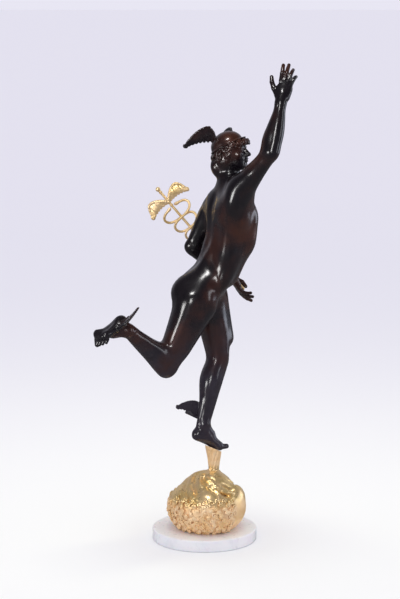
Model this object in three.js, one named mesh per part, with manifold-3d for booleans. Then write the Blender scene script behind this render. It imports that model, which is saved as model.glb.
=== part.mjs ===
// A bronze running Mercury with winged cap, winged ankles and a gilt caduceus, on one foot on a gilt
// plume that rises from a gilt rock, on a round white marble base.
// Millimetres, +Z up. The origin is the centre of the marble's underside. The figure runs towards -Y,
// and its left side is towards +X.
import * as THREE from "three";
import { mergeVertices } from "three/addons/utils/BufferGeometryUtils.js";
import { edgeTable, triTable } from "three/addons/objects/MarchingCubes.js";
import Module from "manifold-3d";

// Marble base
const marbleDiameter = 180;
const marbleThickness = 20;
const marbleEdgeRound = 2;
const marbleSides = 44;

// Gilt rock, and the plume of wind that carries the foot
const rockHeight = 99;
const rockRadius = 65;
const rockX = -3;
const rockY = -4;
const rockMiddle = 0.36;
const rockHalf = 0.5;
const rockWide = 1.02;
const plumeHeight = 38;
const plumeFootRadius = 8.5;
const plumeHeadRadius = 15.5;
const plumeX = -2.5;
const plumeY = -18;
const plumeSunk = 8;
const plumeSpare = 16;

// Bronze figure, from the ball of the standing foot to the top of the cap, and where that ball stands
const figureHeight = 545;
const footX = -4;
const footY = -20;
const featherThickness = 3.2;
const capWing = { length: 57, height: 30, peak: 0.2, feathers: 6 };
const ankleWing = { length: 49, height: 25, peak: 0.32, feathers: 5 };

// Upper half of the rock: smooth lumps and hollows, each with its turn about the rock, its distance out
// and its height as shares of the rock, and its half lengths
const smoothLumps = [
  { turn: 4.0, out: 0.62, up: 0.57, size: [24, 24, 20] },
  { turn: 2.6, out: 0.58, up: 0.6, size: [22, 20, 16] },
  { turn: 1.2, out: 0.6, up: 0.54, size: [24, 24, 18] },
  { turn: 5.4, out: 0.55, up: 0.62, size: [22, 22, 16] },
];
const smoothHollows = [
  { turn: 3.35, out: 0.74, up: 0.74, size: [15, 15, 11] },
  { turn: 4.5, out: 0.88, up: 0.78, size: [13, 13, 18] },
  { turn: 2.0, out: 0.8, up: 0.77, size: [14, 14, 12] },
  { turn: 0.2, out: 0.82, up: 0.78, size: [15, 15, 14] },
];
// Ridges of blown cloud that sweep down from the plume's foot: where each starts and how far it turns,
// how far out it ends, and its radius there
const cloudRidges = [
  { start: 2.9, turn: 1.5, out: 0.86, radius: 8 },
  { start: 3.9, turn: 1.3, out: 0.9, radius: 9 },
  { start: 5.0, turn: 1.2, out: 0.88, radius: 8 },
  { start: 0.1, turn: 1.3, out: 0.86, radius: 8 },
  { start: 1.6, turn: 1.1, out: 0.84, radius: 9 },
];
const smoothSide = 4.0;
const smoothSpread = 0.62;
const curlCount = 66;
const curlTop = 0.6;

// Gilt caduceus
const staffRadius = 2.3;
const knobRadius = 4.2;
const snakeRadius = 2.2;
const snakeLoop = 28;
const snakeLength = 92;
const snakeWave = 3.4;
const staffWing = { length: 40, height: 25, peak: 0.62, feathers: 5 };

// Top of the rock, and the gap between pieces that touch
const rockTop = marbleThickness + rockHeight;
const fitGap = 0.3;

// The figure is drawn at this height, and every size of its form is a share of it
const drawnHeight = 545;
const s = figureHeight / drawnHeight;

// Grid steps of the modelled forms, and the triangles kept
const figureStep = 2.0 * s;
const figureTriangles = 4300;
const rockStep = 2.8;
const rockTriangles = 1250;

const wasm = await Module();
wasm.setup();

const V = (x, y, z) => new THREE.Vector3(x, y, z);
const mix = (a, b, t) => a + (b - a) * t;

// Shapes: each has a distance function and the box that it fills.

// A rod with round ends, of radius ra at a and rb at b.
function rod(a, b, ra, rb = ra) {
  const d = b.clone().sub(a);
  const dd = Math.max(d.lengthSq(), 1e-9);
  const box = new THREE.Box3().setFromPoints([a, b]).expandByScalar(Math.max(ra, rb));
  const distance = (x, y, z) => {
    const px = x - a.x;
    const py = y - a.y;
    const pz = z - a.z;
    const t = Math.min(1, Math.max(0, (px * d.x + py * d.y + pz * d.z) / dd));
    return Math.hypot(px - d.x * t, py - d.y * t, pz - d.z * t) - mix(ra, rb, t);
  };
  return { distance, box };
}

// A muscle that swells from its ends to a radius between them.
function spindle(a, b, radius, end = 0.4 * radius) {
  const d = b.clone().sub(a);
  const dd = d.lengthSq();
  const box = new THREE.Box3().setFromPoints([a, b]).expandByScalar(radius);
  const distance = (x, y, z) => {
    const px = x - a.x;
    const py = y - a.y;
    const pz = z - a.z;
    const t = Math.min(1, Math.max(0, (px * d.x + py * d.y + pz * d.z) / dd));
    const away = Math.hypot(px - d.x * t, py - d.y * t, pz - d.z * t);
    return 0.9 * (away - mix(end, radius, Math.sin(Math.PI * t)));
  };
  return { distance, box };
}

// An ellipsoid with half lengths along three axes of its own.
function egg(centre, axes, radii) {
  const pad = Math.max(...radii);
  const box = new THREE.Box3().setFromPoints([centre]).expandByScalar(pad);
  const [u, v, w] = axes;
  const [a, b, c] = radii;
  const distance = (x, y, z) => {
    const px = x - centre.x;
    const py = y - centre.y;
    const pz = z - centre.z;
    const l = (px * u.x + py * u.y + pz * u.z) / a;
    const m = (px * v.x + py * v.y + pz * v.z) / b;
    const n = (px * w.x + py * w.y + pz * w.z) / c;
    const k0 = Math.sqrt(l * l + m * m + n * n);
    const k1 = Math.sqrt((l / a) ** 2 + (m / b) ** 2 + (n / c) ** 2);
    return k1 < 1e-9 ? -Math.min(a, b, c) : (k0 * (k0 - 1)) / k1;
  };
  return { distance, box };
}

// A set of axes at a place: at(left, front, up) gives a point of it.
function frameAt(origin, up, left) {
  const u = up.clone().normalize();
  const l = left.clone().addScaledVector(u, -left.dot(u)).normalize();
  const f = l.clone().cross(u);
  const at = (dl, df, du) => origin.clone().addScaledVector(l, dl * s).addScaledVector(f, df * s)
    .addScaledVector(u, du * s);
  return { left: l, front: f, up: u, axes: [l, f, u], at };
}

// A limb's axes: at(share, front, out) runs from one joint to the next.
function limbFrame(from, to, front, outSign) {
  const along = to.clone().sub(from);
  const length = along.length();
  const axis = along.clone().normalize();
  const f = front.clone().addScaledVector(axis, -front.dot(axis)).normalize();
  const out = axis.clone().cross(f).multiplyScalar(outSign);
  const at = (t, df = 0, dOut = 0) => from.clone().addScaledVector(axis, length * t)
    .addScaledVector(f, df * s).addScaledVector(out, dOut * s);
  return { at, axes: [axis, out, f] };
}

// A clay that shapes are added to and carved from on a grid of distances.
class Clay {
  constructor(box, step) {
    this.step = step;
    this.origin = box.min.clone().addScalar(-3 * step);
    const size = box.getSize(V(0, 0, 0)).divideScalar(step);
    this.n = [Math.ceil(size.x) + 7, Math.ceil(size.y) + 7, Math.ceil(size.z) + 7];
    this.field = new Float32Array(this.n[0] * this.n[1] * this.n[2]).fill(1e3);
  }

  visit(shape, reach, change) {
    const { step, origin, n, field } = this;
    const lo = shape.box.min.clone().sub(origin).subScalar(reach).divideScalar(step);
    const hi = shape.box.max.clone().sub(origin).addScalar(reach).divideScalar(step);
    const first = [lo.x, lo.y, lo.z].map((v) => Math.max(0, Math.floor(v)));
    const last = [hi.x, hi.y, hi.z].map((v, i) => Math.min(n[i] - 1, Math.ceil(v)));
    for (let k = first[2]; k <= last[2]; k++)
      for (let j = first[1]; j <= last[1]; j++)
        for (let i = first[0]; i <= last[0]; i++) {
          const at = (k * n[1] + j) * n[0] + i;
          const d = shape.distance(origin.x + i * step, origin.y + j * step, origin.z + k * step);
          field[at] = change(field[at], d);
        }
  }

  // Adds a shape, with a soft join about as wide as blend.
  add(shape, blend = 1) {
    const k = Math.max(blend * s, 1e-3);
    this.visit(shape, k + 2 * this.step, (old, d) => {
      const h = Math.max(k - Math.abs(old - d), 0) / k;
      return Math.min(old, d) - (h * h * k) / 4;
    });
    return this;
  }

  // Cuts a shape away, with an edge about as soft as blend.
  carve(shape, blend = 1) {
    const k = Math.max(blend * s, 1e-3);
    this.visit(shape, k + 2 * this.step, (old, d) => {
      const h = Math.max(k - Math.abs(old + d), 0) / k;
      return Math.max(old, -d) + (h * h * k) / 4;
    });
    return this;
  }

  // The surface at distance zero, as corner points and triangles, by marching cubes.
  surface() {
    const { n, field, step, origin } = this;
    const points = [];
    const triangles = [];
    const made = new Map();
    const stride = [1, n[0], n[0] * n[1]];
    const corners = [[0, 0, 0], [1, 0, 0], [1, 1, 0], [0, 1, 0], [0, 0, 1], [1, 0, 1], [1, 1, 1], [0, 1, 1]];
    const edges = [
      [0, 1], [1, 2], [2, 3], [3, 0], [4, 5], [5, 6], [6, 7], [7, 4], [0, 4], [1, 5], [2, 6], [3, 7],
    ];
    const pointOn = (i, j, k, edge) => {
      const [a, b] = edges[edge].map((c) => corners[c]);
      const low = a[0] + a[1] + a[2] < b[0] + b[1] + b[2] ? a : b;
      const axis = [0, 1, 2].find((c) => a[c] !== b[c]);
      const at = (k + low[2]) * stride[2] + (j + low[1]) * stride[1] + i + low[0];
      const key = at * 3 + axis;
      if (!made.has(key)) {
        const d0 = field[at];
        const d1 = field[at + stride[axis]];
        const t = Math.min(0.98, Math.max(0.02, d0 / (d0 - d1)));
        const p = [i + low[0], j + low[1], k + low[2]];
        p[axis] += t;
        made.set(key, points.length / 3);
        points.push(origin.x + p[0] * step, origin.y + p[1] * step, origin.z + p[2] * step);
      }
      return made.get(key);
    };
    for (let k = 0; k < n[2] - 1; k++)
      for (let j = 0; j < n[1] - 1; j++)
        for (let i = 0; i < n[0] - 1; i++) {
          const at = k * stride[2] + j * stride[1] + i;
          if (Math.abs(field[at]) > 4 * step) continue;
          let cube = 0;
          corners.forEach((c, b) => {
            if (field[at + c[0] + c[1] * stride[1] + c[2] * stride[2]] < 0) cube |= 1 << b;
          });
          if (!edgeTable[cube]) continue;
          for (let t = cube * 16; triTable[t] !== -1; t += 3)
            triangles.push(
              pointOn(i, j, k, triTable[t]),
              pointOn(i, j, k, triTable[t + 2]),
              pointOn(i, j, k, triTable[t + 1]),
            );
        }
    return { points, triangles };
  }
}

// Thins a closed surface to about a number of triangles, by joining the edge that changes its form
// least, again and again. Each corner keeps the planes of the faces that met there as a quadric.
function thinned({ points, triangles }, target) {
  const count = points.length / 3;
  const p = Float64Array.from(points);
  const faces = Int32Array.from(triangles);
  const alive = new Uint8Array(faces.length / 3).fill(1);
  const q = new Float64Array(count * 10);
  const around = Array.from({ length: count }, () => new Set());
  const version = new Int32Array(count);
  const normalOf = (a, b, c) => {
    const ux = b[0] - a[0];
    const uy = b[1] - a[1];
    const uz = b[2] - a[2];
    const vx = c[0] - a[0];
    const vy = c[1] - a[1];
    const vz = c[2] - a[2];
    return [uy * vz - uz * vy, uz * vx - ux * vz, ux * vy - uy * vx];
  };
  const at = (v) => [p[v * 3], p[v * 3 + 1], p[v * 3 + 2]];
  for (let f = 0; f < alive.length; f++) {
    const vs = [faces[f * 3], faces[f * 3 + 1], faces[f * 3 + 2]];
    const [a, b, c] = vs.map(at);
    const n = normalOf(a, b, c);
    const area = Math.hypot(...n) || 1e-12;
    const [x, y, z] = n.map((v) => v / area);
    const w = -(x * a[0] + y * a[1] + z * a[2]);
    const plane = [x * x, x * y, x * z, x * w, y * y, y * z, y * w, z * z, z * w, w * w];
    for (const v of vs) {
      around[v].add(f);
      for (let i = 0; i < 10; i++) q[v * 10 + i] += plane[i] * area;
    }
  }
  const errorAt = (m, [x, y, z]) => m[0] * x * x + 2 * m[1] * x * y + 2 * m[2] * x * z + 2 * m[3] * x
    + m[4] * y * y + 2 * m[5] * y * z + 2 * m[6] * y + m[7] * z * z + 2 * m[8] * z + m[9];
  const bestPoint = (m, a, b) => {
    const det = m[0] * (m[4] * m[7] - m[5] * m[5]) - m[1] * (m[1] * m[7] - m[5] * m[2])
      + m[2] * (m[1] * m[5] - m[4] * m[2]);
    const middle = a.map((v, i) => (v + b[i]) / 2);
    const span = Math.hypot(a[0] - b[0], a[1] - b[1], a[2] - b[2]);
    const trace = m[0] + m[4] + m[7];
    if (Math.abs(det) > 1e-3 * (trace / 3) ** 3) {
      const [rx, ry, rz] = [-m[3], -m[6], -m[8]];
      const x = (rx * (m[4] * m[7] - m[5] * m[5]) - m[1] * (ry * m[7] - m[5] * rz)
        + m[2] * (ry * m[5] - m[4] * rz)) / det;
      const y = (m[0] * (ry * m[7] - m[5] * rz) - rx * (m[1] * m[7] - m[5] * m[2])
        + m[2] * (m[1] * rz - ry * m[2])) / det;
      const z = (m[0] * (m[4] * rz - ry * m[5]) - m[1] * (m[1] * rz - ry * m[2])
        + rx * (m[1] * m[5] - m[4] * m[2])) / det;
      if (Math.hypot(x - middle[0], y - middle[1], z - middle[2]) < 2 * span) return [x, y, z];
    }
    return [a, b, middle].sort((c, d) => errorAt(m, c) - errorAt(m, d))[0];
  };
  // A heap of edges, cheapest first.
  const heap = [];
  const swap = (i, j) => ([heap[i], heap[j]] = [heap[j], heap[i]]);
  const push = (entry) => {
    let i = heap.push(entry) - 1;
    for (let up = (i - 1) >> 1; i > 0 && heap[i].cost < heap[up].cost; up = (i - 1) >> 1) {
      swap(i, up);
      i = up;
    }
  };
  const pop = () => {
    const top = heap[0];
    const last = heap.pop();
    if (heap.length) {
      heap[0] = last;
      for (let i = 0; ;) {
        const l = 2 * i + 1;
        const r = l + 1;
        let least = i;
        if (l < heap.length && heap[l].cost < heap[least].cost) least = l;
        if (r < heap.length && heap[r].cost < heap[least].cost) least = r;
        if (least === i) break;
        swap(i, least);
        i = least;
      }
    }
    return top;
  };
  const offer = (a, b) => {
    const m = Array.from({ length: 10 }, (_, i) => q[a * 10 + i] + q[b * 10 + i]);
    const pa = at(a);
    const pb = at(b);
    const to = bestPoint(m, pa, pb);
    const length = (pa[0] - pb[0]) ** 2 + (pa[1] - pb[1]) ** 2 + (pa[2] - pb[2]) ** 2;
    push({ a, b, to, cost: Math.max(errorAt(m, to), 0) + 1e-5 * length, va: version[a], vb: version[b] });
  };
  const neighbours = (v) => {
    const set = new Set();
    for (const f of around[v]) for (let i = 0; i < 3; i++) set.add(faces[f * 3 + i]);
    set.delete(v);
    return set;
  };
  const flips = (v, other, to) => {
    for (const f of around[v]) {
      const vs = [faces[f * 3], faces[f * 3 + 1], faces[f * 3 + 2]];
      if (vs.includes(other)) continue;
      const before = normalOf(...vs.map(at));
      const after = normalOf(...vs.map((u) => (u === v ? to : at(u))));
      const dot = before[0] * after[0] + before[1] * after[1] + before[2] * after[2];
      if (dot < 0.25 * Math.hypot(...before) * Math.hypot(...after)) return true;
    }
    return false;
  };
  for (let v = 0; v < count; v++) for (const u of neighbours(v)) if (u > v) offer(v, u);
  let left = alive.length;
  while (left > target && heap.length) {
    const { a, b, to, va, vb } = pop();
    if (version[a] !== va || version[b] !== vb) continue;
    const shared = [...around[a]].filter((f) => around[b].has(f));
    const common = [...neighbours(a)].filter((v) => neighbours(b).has(v));
    if (shared.length !== 2 || common.length !== 2) continue;
    if (flips(a, b, to) || flips(b, a, to)) continue;
    for (const f of shared) {
      alive[f] = 0;
      left--;
      for (let i = 0; i < 3; i++) around[faces[f * 3 + i]].delete(f);
    }
    for (const f of around[b]) {
      for (let i = 0; i < 3; i++) if (faces[f * 3 + i] === b) faces[f * 3 + i] = a;
      around[a].add(f);
    }
    around[b].clear();
    version[b] = -1;
    for (let i = 0; i < 10; i++) q[a * 10 + i] += q[b * 10 + i];
    p.set(to, a * 3);
    version[a]++;
    for (const v of neighbours(a)) offer(a, v);
  }
  const kept = [];
  for (let f = 0; f < alive.length; f++)
    if (alive[f]) kept.push(faces[f * 3], faces[f * 3 + 1], faces[f * 3 + 2]);
  return { points: p, triangles: kept };
}

// Solids of manifold-3d, and back to three.js
function solidOf(geometry) {
  const bare = geometry.clone();
  bare.deleteAttribute("normal");
  bare.deleteAttribute("uv");
  const merged = mergeVertices(bare, 1e-5);
  return new wasm.Manifold(new wasm.Mesh({
    numProp: 3,
    vertProperties: Float32Array.from(merged.attributes.position.array),
    triVerts: Uint32Array.from(merged.index.array),
  }));
}

function geometryOf(solid) {
  const mesh = solid.getMesh();
  const geometry = new THREE.BufferGeometry();
  geometry.setAttribute("position", new THREE.BufferAttribute(mesh.vertProperties, 3));
  geometry.setIndex(new THREE.BufferAttribute(mesh.triVerts, 1));
  return geometry;
}

// The clay's surface as a solid with about this many triangles.
function cast(clay, target) {
  const { points, triangles } = thinned(clay.surface(), target);
  const used = [...new Set(triangles)];
  const place = new Map(used.map((v, i) => [v, i]));
  const cornerOf = (v) => [points[v * 3], points[v * 3 + 1], points[v * 3 + 2]];
  return new wasm.Manifold(new wasm.Mesh({
    numProp: 3,
    vertProperties: Float32Array.from(used.flatMap(cornerOf)),
    triVerts: Uint32Array.from(triangles.map((v) => place.get(v))),
  }));
}

// Everything behind a plane, within a ball's reach of its point. It is carved to make a flat face.
function behindPlane(point, normal, reach) {
  const n = normal.clone().normalize();
  const box = new THREE.Box3().setFromPoints([point]).expandByScalar(reach);
  const distance = (x, y, z) => Math.max(
    (x - point.x) * n.x + (y - point.y) * n.y + (z - point.z) * n.z,
    Math.hypot(x - point.x, y - point.y, z - point.z) - reach,
  );
  return { distance, box };
}

// Joints of the figure, from the ball of the standing foot. It stands on its left foot.
const footing = V(footX, footY, rockTop + plumeHeight);
const P = (x, y, z) => V(x, y, z).multiplyScalar(s).add(footing);
const D = (x, y, z) => V(x, y, z).normalize();

// The thigh that carries the weight is fuller at its front, and the bent one at its back.
const joints = {
  left: { hip: P(24, -2, 271), knee: P(10, -14, 150), ankle: P(1, 24, 44), side: 1, fuller: [8, 0] },
  right: { hip: P(-15, 44, 268), knee: P(7, 97, 150), ankle: P(4, 176, 223), side: -1, fuller: [0, 6] },
};
const feet = {
  left: { heel: P(3, 39, 18), ball: P(-1, -2, -3), sole: D(0, 0.45, -0.89), toeBend: 0.45 },
  right: { heel: P(7, 191, 247), ball: P(9, 227, 224), sole: D(-0.2, 0.45, 0.85), toeBend: 1.15 },
};
// Where each foot's wing is set, how it sweeps back and how it rises: along the foot, inwards and upwards
const footWings = {
  left: { root: [-6, -7, 38], sweep: [-1, -0.1, 0], rise: [0, 0, 1] },
  right: { root: [16, -9, 14], sweep: [-0.95, -0.1, -0.25], rise: [0.3, -0.8, -0.45] },
};
const arms = {
  left: { shoulder: P(34, -21, 414), elbow: P(67, 2, 342), wrist: P(44, -64, 291), side: 1 },
  right: { shoulder: P(-70, -4, 455), elbow: P(-138, -12, 519), wrist: P(-143, -28, 603), side: -1 },
};
const hands = {
  left: { along: D(-0.19, -0.47, -0.86), palm: D(-0.28, -0.78, 0.56) },
  right: { along: D(-0.05, -0.3, 0.95), palm: D(0.75, -0.63, -0.16) },
};
const pelvis = frameAt(P(5, 20, 287), D(-0.22, -0.4, 0.89), D(0.82, -0.56, -0.04));
const belly = frameAt(P(-10, -7, 336), D(-0.16, -0.26, 0.95), D(0.92, -0.36, -0.14));
const chest = frameAt(P(-19, -19, 406), D(-0.1, -0.01, 0.995), D(0.97, -0.12, -0.2));
const head = frameAt(P(-25, -15, 511), D(0.16, 0.1, 0.97), D(0.56, -0.82, 0.02));

// Adds a form on both sides of a body's middle plane.
function pair(clay, frame, make, blend) {
  for (const side of [-1, 1]) clay.add(make((left, front, up) => frame.at(side * left, front, up)), blend);
}

// Pelvis, belly, ribs and the muscles over them.
function torso(clay) {
  const { at: pel } = pelvis;
  const { at: bel } = belly;
  const { at: rib } = chest;
  clay.add(egg(pel(0, 2, -2), pelvis.axes, [42, 34, 38]), 4);
  clay.add(egg(bel(0, 1, 0), belly.axes, [40, 33, 52]), 20);
  clay.add(egg(rib(0, -1.5, -5), chest.axes, [47.5, 36.5, 61]), 22);
  clay.add(rod(rib(-42, 0, 38), rib(34, 3, 17), 15, 13), 18);

  // Back: broad muscles below the armpits, shoulder blades, and the two columns beside the spine
  pair(clay, chest, (at) => rod(at(36, -8, 4), at(24, -10, -56), 18, 12), 16);
  pair(clay, chest, (at) => egg(at(24, -27, 14), chest.axes, [17, 9, 22]), 12);
  pair(clay, chest, (at) => rod(at(8, -16, 46), at(9, -26, 8), 9, 10), 12);
  pair(clay, chest, (at) => rod(at(9, -26, 8), at(10, -24, -60), 10, 11), 12);
  pair(clay, chest, (at) => rod(at(4, -8, 55), at(34, -7, 32), 9.5, 10), 14);
  pair(clay, belly, (at) => rod(at(10, -23, 12), at(12, -28, -46), 11, 12), 12);

  // The raised shoulder, drawn up towards the neck
  clay.add(rod(rib(-4, -10, 50), P(-76, 3, 461), 12), 18);
  clay.add(rod(P(-47, 12, 414), P(-79, 7, 464), 13, 12), 20);

  // Front: breast muscles, ribs' edge, columns of the belly, and the flanks over the hips
  pair(clay, chest, (at) => egg(at(20.5, 24, -1), chest.axes, [22.5, 12, 20]), 12);
  pair(clay, chest, (at) => egg(at(21, 17, -36), chest.axes, [20, 20, 30]), 16);
  pair(clay, belly, (at) => rod(at(9, 29, 28), at(8, 26, -34), 11, 10), 14);
  pair(clay, belly, (at) => rod(at(27, 6, 8), at(33, 4, -40), 16, 15), 16);

  // Seat
  clay.add(egg(P(5, 56, 277), pelvis.axes, [28, 28, 31]), 20);
  clay.add(egg(P(33, 26, 276), pelvis.axes, [26, 26, 30]), 18);
  clay.carve(rod(P(33, 60, 300), P(28, 58, 250), 2, 3), 9);

  // Furrows of the spine and of the front
  clay.carve(rod(rib(0, -34, 50), rib(0, -43, 8), 3), 10);
  clay.carve(rod(rib(0, -43, 8), rib(0, -43, -50), 3), 10);
  clay.carve(rod(rib(0, -43, -50), bel(0, -43, -34), 3), 10);
  clay.carve(rod(rib(0, 47, 30), rib(0, 44, -4), 2), 8);
  clay.carve(rod(bel(0, 41, 34), bel(0, 40, -20), 1.5), 7);
  clay.carve(egg(bel(0, 38, -16), belly.axes, [2.5, 4, 3]), 4);

  // Groin, kept plain
  clay.add(rod(pel(0, 34, -30), pel(0, 36, -40), 6.5, 7.5), 8);
}

// Thigh and shin. The front is the side that the knee bends towards.
function leg(clay, { hip, knee, ankle, side, fuller: [fore, back] }) {
  const front = knee.clone().multiplyScalar(2).sub(hip).sub(ankle);
  const thigh = limbFrame(hip, knee, front, -side);
  const shin = limbFrame(knee, ankle, front, -side);
  const { at: th } = thigh;
  const { at: sh } = shin;

  clay.add(rod(hip, knee, 29, 15.5), 12);
  clay.add(rod(th(0.1, 15, 3), th(0.7, 12 + fore, 1), 19, 12 + 0.4 * fore), 14);
  clay.add(rod(th(0.25, 4, 12), th(0.84, 5, 9), 16, 9), 9);
  clay.add(rod(th(0.5, 5, -8), th(0.9, 6, -9), 13, 9.5), 8);
  clay.add(rod(th(0.08, -10 - back, 4), th(0.88, -9 - 0.6 * back, 8), 18 + 0.3 * back, 6.5), 12);
  clay.add(rod(th(0.12, -9 - back, -8), th(0.92, -8 - 0.6 * back, -9), 17 + 0.3 * back, 6.5), 12);
  clay.add(rod(th(0.04, 0, -13), th(0.5, 0, -9), 18, 12), 12);

  clay.add(rod(knee, ankle, 14, 8.5), 10);
  clay.add(egg(th(0.99, 10, 0), thigh.axes, [9.5, 8.5, 7.5]), 5);
  clay.add(rod(sh(0.05, 9, 0), sh(0.2, 7, 0), 6), 6);
  clay.add(rod(sh(0.15, 6, -2), sh(0.92, 2, -2), 8, 6), 8);
  clay.add(spindle(sh(-0.04, -9, -6), sh(0.64, -9, -4), 15), 10);
  clay.add(spindle(sh(-0.04, -9, 6), sh(0.6, -9, 5), 14.5), 10);
  clay.add(spindle(sh(0.22, -5, 0), sh(0.98, -6, 0), 11), 8);
  clay.add(rod(sh(0.6, -9, 0), sh(1.02, -10, 0), 4.5, 4), 7);
  clay.add(egg(sh(0.985, 1, -8.5), shin.axes, [5, 3.6, 4.5]), 3);
  clay.add(egg(sh(1.02, -1.5, 8.5), shin.axes, [5.5, 3.4, 4]), 3);
}

// Foot: fore runs along the sole to the ball, inner to the big toe and top away from the sole.
function footFrame({ heel, ball, sole }, side) {
  const fore = ball.clone().sub(heel).normalize();
  const up = sole.clone().negate();
  up.addScaledVector(fore, -up.dot(fore)).normalize();
  const inner = up.clone().cross(fore).multiplyScalar(-side);
  const at = (f, m, h) => heel.clone().addScaledVector(fore, f * s).addScaledVector(inner, m * s)
    .addScaledVector(up, h * s);
  return { fore, up, axes: [fore, inner, up], at };
}

function foot(clay, shape, ankle, side) {
  const { fore, up, axes, at } = footFrame(shape, side);
  clay.add(egg(at(1, 0, 11), axes, [12.5, 10, 12]), 5);
  clay.add(rod(at(2, 0, 14), ankle, 10, 9), 6);
  clay.add(rod(ankle, at(20, 2, 20), 8.5, 9), 7);
  clay.add(rod(at(12, 2, 18.5), at(41, 4, 7.5), 9.5, 6.5), 7);
  clay.add(rod(at(8, -5, 8), at(38, -9, 6), 7, 5.5), 6);
  clay.add(rod(at(10, 5, 12), at(43, 8, 7.5), 7), 6);
  clay.add(egg(at(40, 2, 5.5), axes, [10, 14, 6]), 5);
  clay.carve(egg(at(23, 13, -2), axes, [15, 8, 7.5]), 5);

  // Toes, the big one first. They bend away from the sole, the big one most.
  for (let i = 0; i < 5; i++) {
    const bent = i === 0 ? shape.toeBend : 0.75 * shape.toeBend;
    const ahead = fore.clone().multiplyScalar(Math.cos(bent)).addScaledVector(up, Math.sin(bent));
    const radius = i === 0 ? 5 : 3.7 - 0.15 * i;
    const root = at(44 - 0.55 * i * i, 9.5 - (i ? 1.2 : 0) - 4.7 * i, i === 0 ? 6 : 5.2);
    const tip = root.clone().addScaledVector(ahead, (i === 0 ? 13 : 14 - 1.4 * i) * s);
    const bend = root.clone().lerp(tip, 0.5).addScaledVector(up, (i === 0 ? 0.2 : 1.6) * s);
    clay.add(rod(root, bend, radius), 2.5);
    clay.add(rod(bend, tip, radius, radius * 0.86), 1);
  }
  clay.carve(behindPlane(at(24, 0, 0), up, 34 * s), 2);
}

// Upper arm and forearm. The front is the side that the elbow bends towards.
function arm(clay, { shoulder, elbow, wrist, side }) {
  const front = shoulder.clone().add(wrist).addScaledVector(elbow, -2);
  const upper = limbFrame(shoulder, elbow, front, -side);
  const fore = limbFrame(elbow, wrist, front, -side);
  const { at: up } = upper;
  const { at: fo } = fore;
  clay.add(rod(shoulder, elbow, 16, 11.5), 9);
  clay.add(rod(up(-0.02, -1, 4), up(0.36, -1, 4), 17, 12), 14);
  clay.add(rod(up(0.34, 6, 0), up(0.74, 5, 0), 12, 9.5), 8);
  clay.add(rod(up(0.22, -6, 0), up(0.76, -5, 1), 12.5, 9), 8);
  clay.add(rod(elbow, wrist, 10, 7.5), 12);
  clay.add(egg(up(1.0, -6, 0), upper.axes, [6, 5, 5]), 5);
  clay.add(spindle(up(0.8, 3, 5), fo(0.66, 2, 4), 10.5), 8);
  clay.add(spindle(fo(-0.12, 1, -4), fo(0.7, 1, -4), 11), 8);
  clay.add(spindle(fo(-0.05, -3, 0), fo(0.95, -1, 0), 11), 8);
  clay.add(rod(fo(0.85, 0, -3.5), fo(1.0, 0, -4), 6), 5);
  clay.add(rod(fo(0.85, 0, 3.5), fo(1.0, 0, 4), 6), 5);
}

// Hand: at(along, thumbwards, out of the palm). curl bends each joint of a finger towards the palm.
function handFrame(wrist, { along, palm }, side) {
  const out = palm.clone().addScaledVector(along, -palm.dot(along)).normalize();
  const thumb = along.clone().cross(out).multiplyScalar(-side);
  const at = (a, c, h) => wrist.clone().addScaledVector(along, a * s).addScaledVector(thumb, c * s)
    .addScaledVector(out, h * s);
  return { along, thumb, out, axes: [along, thumb, out], at };
}

function hand(clay, frame, { curl, spread, thumbPath }) {
  const { along, thumb, out, axes, at } = frame;
  clay.add(egg(at(16, 0.5, 0), axes, [18, 12.5, 5.8]), 5);
  clay.add(rod(at(-4, 0, 0), at(8, 0, 0), 8, 7.5), 6);
  clay.add(rod(at(6, 7, 2), at(18, 9, 2.5), 5.5, 4.5), 4);
  clay.add(rod(at(6, -7, 1.5), at(20, -8, 1.5), 5, 4.5), 4);
  const lengths = [12.4, 13.8, 12.8, 10.4];
  lengths.forEach((length, i) => {
    const across = 9 - 5.7 * i;
    let tip = at(27 + [2, 4, 3, 0][i], across, -0.5);
    let angle = 0;
    [1, 0.66, 0.56].forEach((share, joint) => {
      angle += curl[i] * [0.7, 1.2, 0.8][joint];
      const step = along.clone().multiplyScalar(Math.cos(angle)).addScaledVector(out, Math.sin(angle))
        .addScaledVector(thumb, spread * (1.4 - i));
      const next = tip.clone().addScaledVector(step.normalize(), length * share * s);
      clay.add(rod(tip, next, 3.7 - 0.25 * joint - 0.1 * i, 3.5 - 0.25 * joint - 0.1 * i), joint ? 1 : 2.5);
      tip = next;
    });
  });
  const [a, b, c, d] = thumbPath.map((p) => at(...p));
  clay.add(rod(a, b, 5, 4.4), 3);
  clay.add(rod(b, c, 4.3, 3.8), 1.5);
  clay.add(rod(c, d, 3.9, 3.2), 1);
}

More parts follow.
